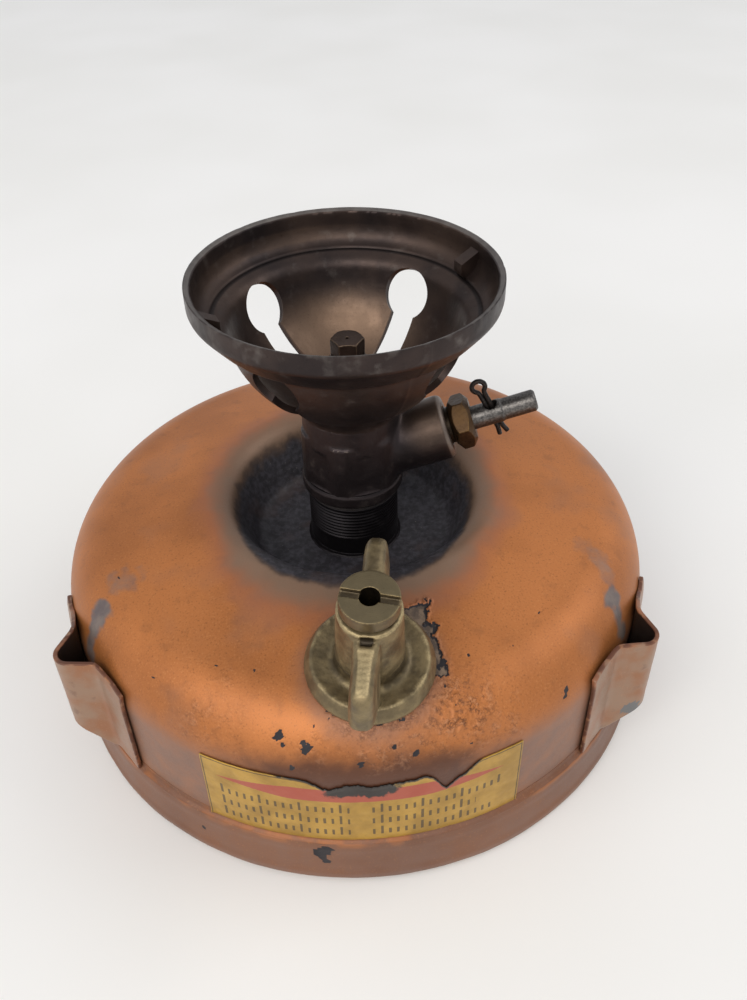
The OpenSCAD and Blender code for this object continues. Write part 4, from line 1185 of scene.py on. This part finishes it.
def lug(turn_to):
    """A block that stands on the cove inside the rim, with a sloping top."""
    arc = np.radians(np.linspace(0, 90, 10))
    foot_r = RIM_R - BELL_T - COVE_W
    wide, deep = COVE_W + LUG_SUNK, COVE_H + LUG_SUNK
    outline = [(LUG_IN_R, LUG_TOP_IN), (RIM_R - BELL_T / 2, LUG_TOP_OUT)]
    outline += [(foot_r + wide * cos(a), BAND_H + deep * sin(a)) for a in arc]
    outline += [(LUG_IN_R, LUG_LOW)]
    flat = [(r, RIM_Z - d) for r, d in outline]
    return prism("lug_block", flat, -LUG_W / 2, LUG_W / 2, turn(turn_to, "Z") @ turn(90, "X"))


NICKS, NICK_SEED = 12, 5


def bell_casting():
    """The bell as a worn casting: nicked rim, seam line, grain, soot and a tan heated area inside, with
    painted sheen in the cove, painted highlights on the tops of the rim and lugs, and a painted shadow in the
    groove.
    """
    obj = lathe("bell_casting", bell_section(), np.arange(0, 360, TURN_STEP))
    for key_turn in KEY_TURNS:
        carve(obj, keyhole(key_turn))
    for lug_turn in LUG_TURNS:
        carve(obj, lug(lug_turn), "UNION")
    p, n = points_of(obj), normals_of(obj)
    r, depth, angle = off_axis(p), RIM_Z - p[:, 2], bearing(p)
    facing = (n[:, 0] * p[:, 0] + n[:, 1] * p[:, 1]) / np.maximum(r, 1)
    small, middle = cloud(p, 0.9, 1), cloud(p, 5, 2)
    chance = np.random.default_rng(NICK_SEED)
    nicks = np.zeros(len(p))
    for _ in range(NICKS):
        spot = polar(chance.uniform(-180, 180), RIM_R - chance.choice([0.0, 1.2]), RIM_Z)
        nick_w = chance.uniform(0.5, 1.1)
        nicks = most(nicks, chance.uniform(0.06, 0.2) * bulge(p, spot, nick_w))
    seam = hump(turned_from(angle, -63) * radians(1) * r, 0, 0.4) * (facing > 0.2)
    seam *= ramp(depth, RIM_Z - BELL_Z - 3, RIM_Z - BELL_Z - 8)
    push(obj, 0.012 * small + 0.03 * middle - nicks + 0.14 * seam)
    inside = ramp(facing, 0.1, -0.2) * (r < RIM_R - 0.5)
    back = hump(turned_from(angle, 92), 0, 66)
    # Painted sheen along the cove, stronger towards the back left
    cove_sheen = span(depth, 3.6, 7.6, 0.8) * (0.28 + 0.15 * hump(turned_from(angle, 120), 0, 40))
    heat_and_sheen = inside * most(back * ramp(depth, 8, 27), 0.25, cove_sheen)
    # The rim's upward faces are lighter: wear with a painted highlight
    rim_top_wear_and_light = ramp(n[:, 2], 0.55, 0.75) * (depth < 1.3)
    outer_edge = hump(depth, 0.2, 0.35) * (facing > 0.1) * ramp(middle, -0.5, 0.4)
    by_lug = np.min([np.abs(turned_from(angle, lug_turn)) for lug_turn in LUG_TURNS], axis=0)
    on_lug = (by_lug < 4) * (r > LUG_IN_R - 0.3)
    # Painted highlight on the lugs' upward faces
    lit_lug_top = on_lug * ramp(n[:, 2], 0.5, 0.8) * span(depth, 2.2, 5.0, 0.4)
    # Painted shadow of the step, in the groove above the ledge
    groove = hump(depth, GROOVE_D - 0.1, 0.3) * (r > 29.4) * (r < 31)
    low_edge = 0.5 * hump(depth, 4.4, 0.6) * (facing > 0.3) * ramp(middle, -0.5, 0.5)
    band = 0.5 * ramp(depth, 5.0, 4.2) * (facing > 0.6) * ramp(middle, -0.9, 0.7)
    edge = most(0.75 * rim_top_wear_and_light, 0.6 * outer_edge, 0.7 * lit_lug_top, low_edge, band)
    layer(obj, "wear_and_shading", edge, groove, heat_and_sheen)
    obj.data.set_sharp_from_angle(angle=radians(SHARP_TURN))
    return obj


def body_casting():
    """The burner body as a worn casting, browner towards the arm's end, where its upward faces carry painted
    light.
    """
    obj = casting("burner_body", "body_casting", 0.36, 3)
    p = points_of(obj)
    q = to_frame(p, ARM)
    off_stem, off_arm = off_axis(p) - STEM_R, off_axis(q) - ARM_R
    soften(obj, np.exp(-(off_stem**2 + off_arm**2) / 9) * (p[:, 0] > 0), 60)
    q = points_of(obj, ARM)
    q[:, 2] += ARM_MORE * ramp(q[:, 2], ARM_END - 8, ARM_END - 1) * (off_axis(q) < 9)
    place_points(obj, q, ARM)
    p = points_of(obj)
    q = to_frame(p, ARM)
    small, middle = cloud(p, 0.9, 3), cloud(p, 4, 4)
    push(obj, 0.015 * small + 0.03 * middle)
    bend = ridges(obj)
    arm_end = ramp(q[:, 2], 9, 21) * (off_axis(q) < 9)
    end_ring = hump(q[:, 2], ARM_END + ARM_MORE - 0.6, 0.7) * arm_end
    edge = most(ramp(bend, 0.1, 0.4), end_ring)
    # Painted light: the tan at the arm's end is stronger on its upward faces
    lit = 0.45 + 0.55 * ramp(normals_of(obj)[:, 2], -0.2, 0.5)
    layer(obj, "wear_and_shading", edge, ramp(bend, -0.06, -0.3), 0.62 * arm_end * lit)
    return obj


def body_lip():
    """The turned lip at the foot of the burner body, with a groove above it, painted shade in the groove and
    a painted highlight along its lower edge.
    """
    corners = [
        (-2.0, 0.05, 0), (-0.35, 0.05, 0.3), (0.12, 0.9, 0.7),
        (0.12, 3.1, 0.7), (-0.3, 3.9, 0.2), (-2.0, 3.9, 0),
    ]
    obj = ring("body_lip", (LIP_R, LIP_Z), corners, 0.2, 1.0)
    p = points_of(obj)
    push(obj, 0.02 * cloud(p, 1.2, 2) + 0.05 * cloud(p, 6, 3))
    up = p[:, 2] - LIP_Z
    # Painted highlight along the lip's lower edge, with wear, and painted shade in the groove above it
    layer(obj, "wear_and_shading", 0.45 * hump(up, 0.8, 0.5), ramp(up, 3.3, 3.8))
    return obj


def worn_copy(node, name, voxel, relief, underside_shade=0.0):
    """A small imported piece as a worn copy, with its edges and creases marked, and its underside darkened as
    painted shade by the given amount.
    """
    obj = casting(node, name, voxel)
    push(obj, relief * (cloud(points_of(obj), 0.7, 6) - 1))
    bend = ridges(obj)
    # Painted shade on the downward faces, used for the spindle
    under = ramp(normals_of(obj)[:, 2], 0.1, -0.6)
    layer(obj, "wear_and_shading", ramp(bend, 0.15, 0.6), ramp(bend, -0.1, -0.5), underside_shade * under)
    return obj


def gland_hex():
    """The gland nut, with chamfered ends, painted shade at its neck against the arm and a painted highlight
    on its faces towards the front.
    """
    obj = casting("gland_nut", "gland_hex", 0.18)
    q = points_of(obj, NUT)
    s, rho = q[:, 2], off_axis(q)
    limit = NUT_FLAT_R - NUT_CHAMFER + np.minimum(s - NUT_FROM, NUT_TO - s)
    share = np.where(s > NUT_FROM - 0.2, np.minimum(1, limit / np.maximum(rho, 1)), 1)
    low, high = NUT_FROM - 6, NUT_TO + 28
    shown = [0, low, NUT_SHOWS_FROM, NUT_SHOWS_TO, high + NUT_SHOWS_TO - NUT_TO]
    seated = np.interp(s, [0, low, NUT_FROM, NUT_TO, high], shown)
    place_points(obj, np.column_stack([q[:, 0] * share, q[:, 1] * share, seated]), ARM)
    p, n = points_of(obj), normals_of(obj)
    push(obj, 0.02 * (cloud(p, 0.8, 6) - 1) + 0.03 * cloud(p, 3, 7))
    bend = ridges(obj, 3)
    # Painted highlight on the faces towards the front, and painted shade at the neck against the arm
    lit = ramp(n @ unit(NUT_LIT_SIDE), 0.8, 0.97) * ramp(rho, 5.0, 5.6) * 0.5
    neck = ramp(s, NUT_FROM + 0.3, NUT_FROM - 0.3)
    layer(obj, "wear_and_shading", 0.5 * ramp(bend, 0.15, 0.6), most(neck, ramp(bend, -0.1, -0.5)), lit)
    return obj


def cap_casting():
    """The winged stalk of the filler cap, with file marks on its wings."""
    obj = casting("filler_cap", "cap_casting", 0.3)
    wing = points_of(obj, WING)
    out = np.abs(wing[:, 0])
    on_wing = ramp(out, 7.4, 9.0) * ramp(wing[:, 2], CAP_TOP - 0.4, CAP_TOP + 1.0)
    # The wings narrow towards their upper edge
    wing[:, 1] *= 1 - on_wing * 0.14 * ramp(wing[:, 2], CAP_TOP + 5, WING_TOP)
    wing[:, 1] *= 1 - on_wing * 0.16 * ramp(out, 17.0, 20.2)
    place_points(obj, wing, WING)
    soften(obj, on_wing, 150)
    wing = points_of(obj, WING)
    wing[:, 0] *= 1 + 0.035 * on_wing
    wing[:, 1] *= 1 + 0.08 * on_wing
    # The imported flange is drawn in, to lie inside the turned one
    rho = off_axis(wing)
    hidden = ramp(rho, 7.9, 8.6) * ramp(wing[:, 2], CAP_TOP + 0.4, CAP_TOP)
    wing[:, :2] *= (1 - 0.09 * hidden * ramp(rho, 9, 13))[:, None]
    wing[:, 2] -= 0.7 * hidden * ramp(wing[:, 2], CAP_LOW + 1, CAP_LOW + 2.5)
    place_points(obj, wing, WING)
    p, n = points_of(obj), normals_of(obj)
    wing = to_frame(p, WING)
    height = wing[:, 2]
    small, middle = cloud(p, 0.8, 1), cloud(p, 3, 2)
    on_top = span(wing[:, 0], 8, 18.5, 0.6) * (np.abs(wing[:, 1]) < 2.4) * ramp(n @ FILLER_UP, 0.75, 0.95)
    marks = on_top * np.sin(2 * pi * (wing[:, 0] + 0.12 * middle) / FILE_GAP)
    # A saw cut above the front wing, where it meets the stalk
    cut = span(wing[:, 0], *SAW_CUT, 0.2) * (np.abs(wing[:, 1]) < 1.3)
    cut = cut * ramp(height, WING_TOP - 1.2, WING_TOP - 0.5)
    outside = ramp(off_axis(wing), 4.6, 5.4) * ramp(height, 0.6, 1.2)
    push(obj, outside * (0.03 * small + 0.05 * middle + 0.035 * marks - 0.35 * cut))
    bend = ridges(obj, 8)
    foot = ramp(height, CAP_TOP + 5, CAP_TOP + 1) * ramp(middle, -0.9, 0.3)
    layer(obj, "wear_and_shading", most(0.6 * ramp(bend, 0.06, 0.3), 0.7 * on_top), most(0.55 * foot, cut))
    return obj


def cap_flange():
    """The turned flange of the filler cap: a sloping side, a rounded ridge and a dished top, with painted
    shadow of the stalk on the top.
    """
    corners = [
        (7.0, 0.1, 0), (CAP_R - 0.2, 0.1, 0.2), (CAP_R, 1.0, 0.8), (CAP_R - 1.5, 4.1, 0.9),
        (10.2, 3.75, 2.0), (7.75, 3.5, 1.6), (7.3, 7.0, 0), (6.9, 7.0, 0),
    ]
    obj = ring("cap_flange", (0, CAP_LOW), corners, 0.2, 1.0)
    q = points_of(obj)
    place_points(obj, q, FILLER)
    p = points_of(obj)
    rho, small, middle = off_axis(q), cloud(p, 0.9, 4), cloud(p, 3.5, 5)
    push(obj, 0.03 * small + 0.06 * middle)
    ridge = hump(rho, CAP_R - 1.9, 1.0) * ramp(q[:, 2], CAP_TOP - 0.9, CAP_TOP - 0.2)
    # Painted shadow of the stalk on the dished top, with grime; the flange is also darker towards its foot
    dirt_and_shade = 0.6375 * ramp(rho, 10.2, 8.0) * ramp(middle, -1.0, 0.2)
    below = 0.5 * ramp(q[:, 2], CAP_LOW + 1.6, CAP_LOW + 0.2)
    layer(obj, "wear_and_shading", 0.62 * ridge * ramp(middle, -0.9, 0.4), most(dirt_and_shade, below), 0.25 * ramp(rho, 9.0, 11.0))
    return obj


def screw_head():
    """The relief screw, with turning marks on its face and painted shade in its slot and vent."""
    obj = casting("relief_screw", "relief_screw_head", 0.16)
    p, n = points_of(obj), normals_of(obj)
    q = to_frame(p, FILLER)
    r = off_axis(q)
    face = ramp(n @ FILLER_UP, 0.8, 0.95) * ramp(q[:, 2], HEAD_TOP - 0.3, HEAD_TOP - 0.1)
    push(obj, 0.012 * face * np.sin(2 * pi * r / TURNING_GAP) + 0.012 * cloud(p, 0.7, 8) - 0.01)
    bend = ridges(obj)
    # Painted shade in the slot and in the vent hole
    sunk = ramp(HEAD_TOP - q[:, 2], 0.2, 0.8) * ramp(r, HEAD_R - 0.25, HEAD_R - 0.5)
    dirt_and_shade = most(0.55 * sunk, ramp(r, VENT_R + 0.25, VENT_R))
    layer(obj, "wear_and_shading", 0.75 * ramp(bend, 0.25, 0.8), dirt_and_shade, face)
    return obj


def head_brass():
    """Olive-grey brass with turning marks, bright at its edges, and painted shade in its slot and vent."""
    f = Finish("head_brass", Metallic=0.75)
    edge, crease, face = f.masks("wear_and_shading")
    fine, blotch = f.grain(0.35, 4), f.grain(3, 5)
    f.over(f.step(blotch, 0.3, 0.7), "7b6c51", "5f523e")
    f.over(f.times(face, 0.75), "75694f")
    f.over(f.step(fine, 0.6, 0.72, 0, 0.4), "54492f")
    f.over(f.frayed(edge, fine, 0.5, 0.4, 0.95, 0.4), "b79c66")
    # Painted shade in the slot and the vent
    f.over(f.step(crease, 0.3, 0.8), "16100e")
    f.bump(fine, 0.02)
    return f.done(Roughness=f.step(blotch, 0.25, 0.75, 0.34, 0.5))


def relief_coil():
    """The relief spring, copied from its imported node with a plain steel finish, in place of that node."""
    obj = copy_of("relief_spring", "relief_coil")
    obj.data.materials.append(plain("spring_steel", "6a6a6a", "a3a3a3", 0.6, 0.3, 0.01, metallic=0.9))
    height = points_of(obj, FILLER)[:, 2]
    start, end = (FILLER @ Vector((0, 0, z)) * MM for z in (height.min(), height.max()))
    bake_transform(obj)
    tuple(start)
    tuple(end)
    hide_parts("relief_spring")


def cotter_pin():
    """A split pin: one wire up, round the eye and down again, with spread ends."""
    leg = COTTER_WIRE_R * 0.98
    out = radians(COTTER_SPREAD)
    bend = (leg, COTTER_BEND - COTTER_DOWN)
    tail = (bend[0] + COTTER_BEND * sin(out), bend[1] - COTTER_BEND * cos(out))
    neck = (leg, COTTER_UP - COTTER_EYE_R - 0.7)
    down = np.vstack([np.linspace(tail, bend, 6), np.linspace(bend, neck, 16)[1:]])
    a = np.radians(np.linspace(-66, 246, 40))
    eye = np.column_stack([COTTER_EYE_R * np.cos(a), COTTER_UP + COTTER_EYE_R * np.sin(a)])
    path = np.vstack([down, eye, down[::-1] * (-1, 1)])
    for _ in range(2):
        path[1:-1] = (path[:-2] + 2 * path[1:-1] + path[2:]) / 4
    x, z = spaced(path, lambda p: 0.18).T
    obj = tube("split_pin", from_frame(np.column_stack([x, 0 * x, z]), COTTER), COTTER_WIRE_R)
    push(obj, 0.03 * cloud(points_of(obj), 0.9, 3))
    return obj


# Stage

FLOOR_HALF, FLOOR_DROP = 6000.0, 0.05
SKY, SKY_STRENGTH = (0.93, 0.95, 1.0, 1), 0.58
# Lights: name, place, size, power and colour
PANELS = [
    ("front_panel", (-0.5, -1.7, 1.7), (2.4, 1.4), 30.0, (1.0, 0.97, 0.93)),
    ("side_panel", (1.6, 0.2, 1.5), (1.2, 1.2), 8.0, (1.0, 0.98, 0.96)),
    ("left_panel", (-1.5, -0.9, 1.3), (1.2, 1.2), 5.5, (1.0, 0.97, 0.94)),
]
PANELS_AIM = Vector((0, 0, 0.03))


def stage():
    """A pale floor, and soft light from above and in front."""
    corners = np.array([(-1, -1), (1, -1), (1, 1), (-1, 1)]) * FLOOR_HALF
    floor = make("floor", [(x, y, -FLOOR_DROP) for x, y in corners], [(0, 1, 2, 3)])
    f = Finish("floor_paper", Specular_IOR_Level=0.25)
    grain = f.grain(3, 4)
    f.bump(grain, 0.02)
    f.over(f.step(f.grain(160, 2), 0.3, 0.7), "f4f3ef", "f9f8f5")
    floor.data.materials.append(f.done(Roughness=f.step(grain, 0.3, 0.7, 0.6, 0.75)))
    world = bpy.data.worlds.new("studio")
    world.use_nodes = True
    sky = world.node_tree.nodes["Background"].inputs
    sky["Color"].default_value = SKY
    sky["Strength"].default_value = SKY_STRENGTH
    bpy.context.scene.world = world
    for name, place, size, power, colour in PANELS:
        lamp = bpy.data.lights.new(name, "AREA")
        lamp.shape = "RECTANGLE"
        lamp.size, lamp.size_y = size
        lamp.energy = power
        lamp.color = colour
        obj = show(name, lamp)
        obj.location = place
        obj.rotation_euler = (PANELS_AIM - Vector(place)).to_track_quat("-Z", "Y").to_euler()


# Camera fitted to the photograph, with its focal length for a picture of this height
CAMERA_AT = (0, -0.19012, 0.20995)
CAMERA_PAN, CAMERA_TILT, CAMERA_ROLL = 1.547, 39.998, 1.358
FOCAL_PIXELS, PICTURE_PIXELS = 950.0, 1000.0
SENSOR = 36.0


def camera():
    lens = bpy.data.cameras.new("camera")
    lens.sensor_width = SENSOR
    lens.lens = SENSOR * FOCAL_PIXELS / PICTURE_PIXELS
    lens.clip_start = 0.01
    obj = show("camera", lens)
    aim = turn(-CAMERA_PAN, "Z") @ turn(90 - CAMERA_TILT, "X") @ turn(-CAMERA_ROLL, "Z")
    obj.matrix_world = shift(*CAMERA_AT) @ aim
    bpy.context.scene.camera = obj


# Assembly

skin = tank_skin()
wear_tank(skin)
fit(skin, copper_paint("tank_paint", "c67b41", "ad6935"), nodes=["tank_shell"])
base_finish = copper_paint("base_paint", "88532f", "70442a")
fit(base_skirt(), base_finish, nodes=["tank_base"])
fit(base_seam(), base_finish)
clip_finish = clip_paint()
for clip_node, clip_place in CLIPS.items():
    fit(clip_sheet(clip_node, *clip_place), clip_finish, nodes=[clip_node])
fit(label_sheet(), label_foil(), nodes=["label_plate"])

dark_bronze = bronze("dark_bronze", "2d2626", "433733", "807a75")
fit(bell_casting(), dark_bronze, nodes=["burner_bell"])
body_finish = bronze("body_bronze", "2b2526", "3b3232", "7c7067", "6b5748")
fit(body_casting(), body_finish, nodes=["burner_body"])
socket_finish = bronze("socket_steel", "1b181b", "292528", "5c5553")
fit(burner_socket(), socket_finish, nodes=["burner_socket"])
foot = [(-0.2, -0.3, 0), (0.9, -0.1, 0), (0.3, 0.3, 0.4), (0.1, 1.0, 0), (-0.2, 0.9, 0)]
foot_ring = braze("braze_ring", (SOCKET_R, PAN_Z), foot, (0.2, 2.0), 0.16, 3.0, 0, 0.5, 0.6)
fit(foot_ring, socket_finish)
collar = [(-0.35, -5, 0), (0.12, 1.3, 4.5), (2.5, 3.75, 0), (1.9, 3.6, 0), (-0.7, 1.2, 0), (-0.7, -5, 0)]
bell_collar = braze("bell_collar", (STEM_R, BELL_Z), collar, (0.3, 1.5, 5.0), 0.04, 2.5, -1, 1, 0.1)
fit(bell_collar, dark_bronze)
fit(body_lip(), body_finish)
jet_finish = bronze("jet_bronze", "382b24", "55433a", "6f5d4c")
fit(worn_copy("jet", "jet_hex", 0.15, 0.02), jet_finish, nodes=["jet"])
nut_finish = brass("nut_brass", "3c2c1e", "543d27", "806336")
fit(gland_hex(), nut_finish, nodes=["gland_nut"])
spindle_finish = steel("spindle_steel", "53504e", "7a7672", 0.5)
spindle_rod = worn_copy("valve_spindle", "spindle_rod", 0.22, 0.015, 1.0)
fit(spindle_rod, spindle_finish, "spindle", ["valve_spindle"])
fit(cotter_pin(), steel("pin_steel", "1b191a", "3d3834", 0.6, 0.7), "spindle", ["cotter_pin"])
cap_finish = brass("cap_brass", "675a43", "92815f", "c6b185", 0.7, 0.36, 0.55)
fit(cap_casting(), cap_finish, "cap", ["filler_cap"])
fit(cap_flange(), cap_finish, "cap")
fit(screw_head(), head_brass(), "cap", ["relief_screw"])
relief_coil()

inner_finishes = {
    "filler_neck": plain("neck_brass", "7d6733", "a48a4d", 1.5, 0.35, 0.02, metallic=0.8),
    "feed_pipe": plain("pipe_brass", "7d6733", "a1854a", 1.5, 0.35, 0.02, metallic=0.8),
    "wick": plain("wick_cotton", "b9ae95", "e2d9c4", 0.6, 0.85, 0.15, (1, 1, 0.25)),
    "burner_gasket": plain("gasket_fibre", "1e1a19", "322b28", 0.8, 0.75, 0.05),
    "gland_washer": plain("washer_brass", "7b622f", "a0834a", 1.2, 0.35, 0.02, metallic=0.8),
    "gland_packing": plain("packing_cord", "1f1e1e", "3a3836", 0.5, 0.8, 0.1),
    "filler_seal": plain("seal_rubber", "1c1917", "2f2a27", 0.8, 0.6, 0.02),
    "relief_pin": plain("pin_brass", "8a7137", "b0945a", 1.0, 0.3, 0.01, metallic=0.85),
    "relief_seal": plain("relief_rubber", "191919", "2c2b2a", 0.8, 0.6, 0.02),
}
for inner_node, inner_finish in inner_finishes.items():
    inner_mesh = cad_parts[inner_node].data
    inner_mesh.materials.clear()
    inner_mesh.materials.append(inner_finish)

stage()
camera()
bpy.context.scene.view_settings.view_transform = "Standard"
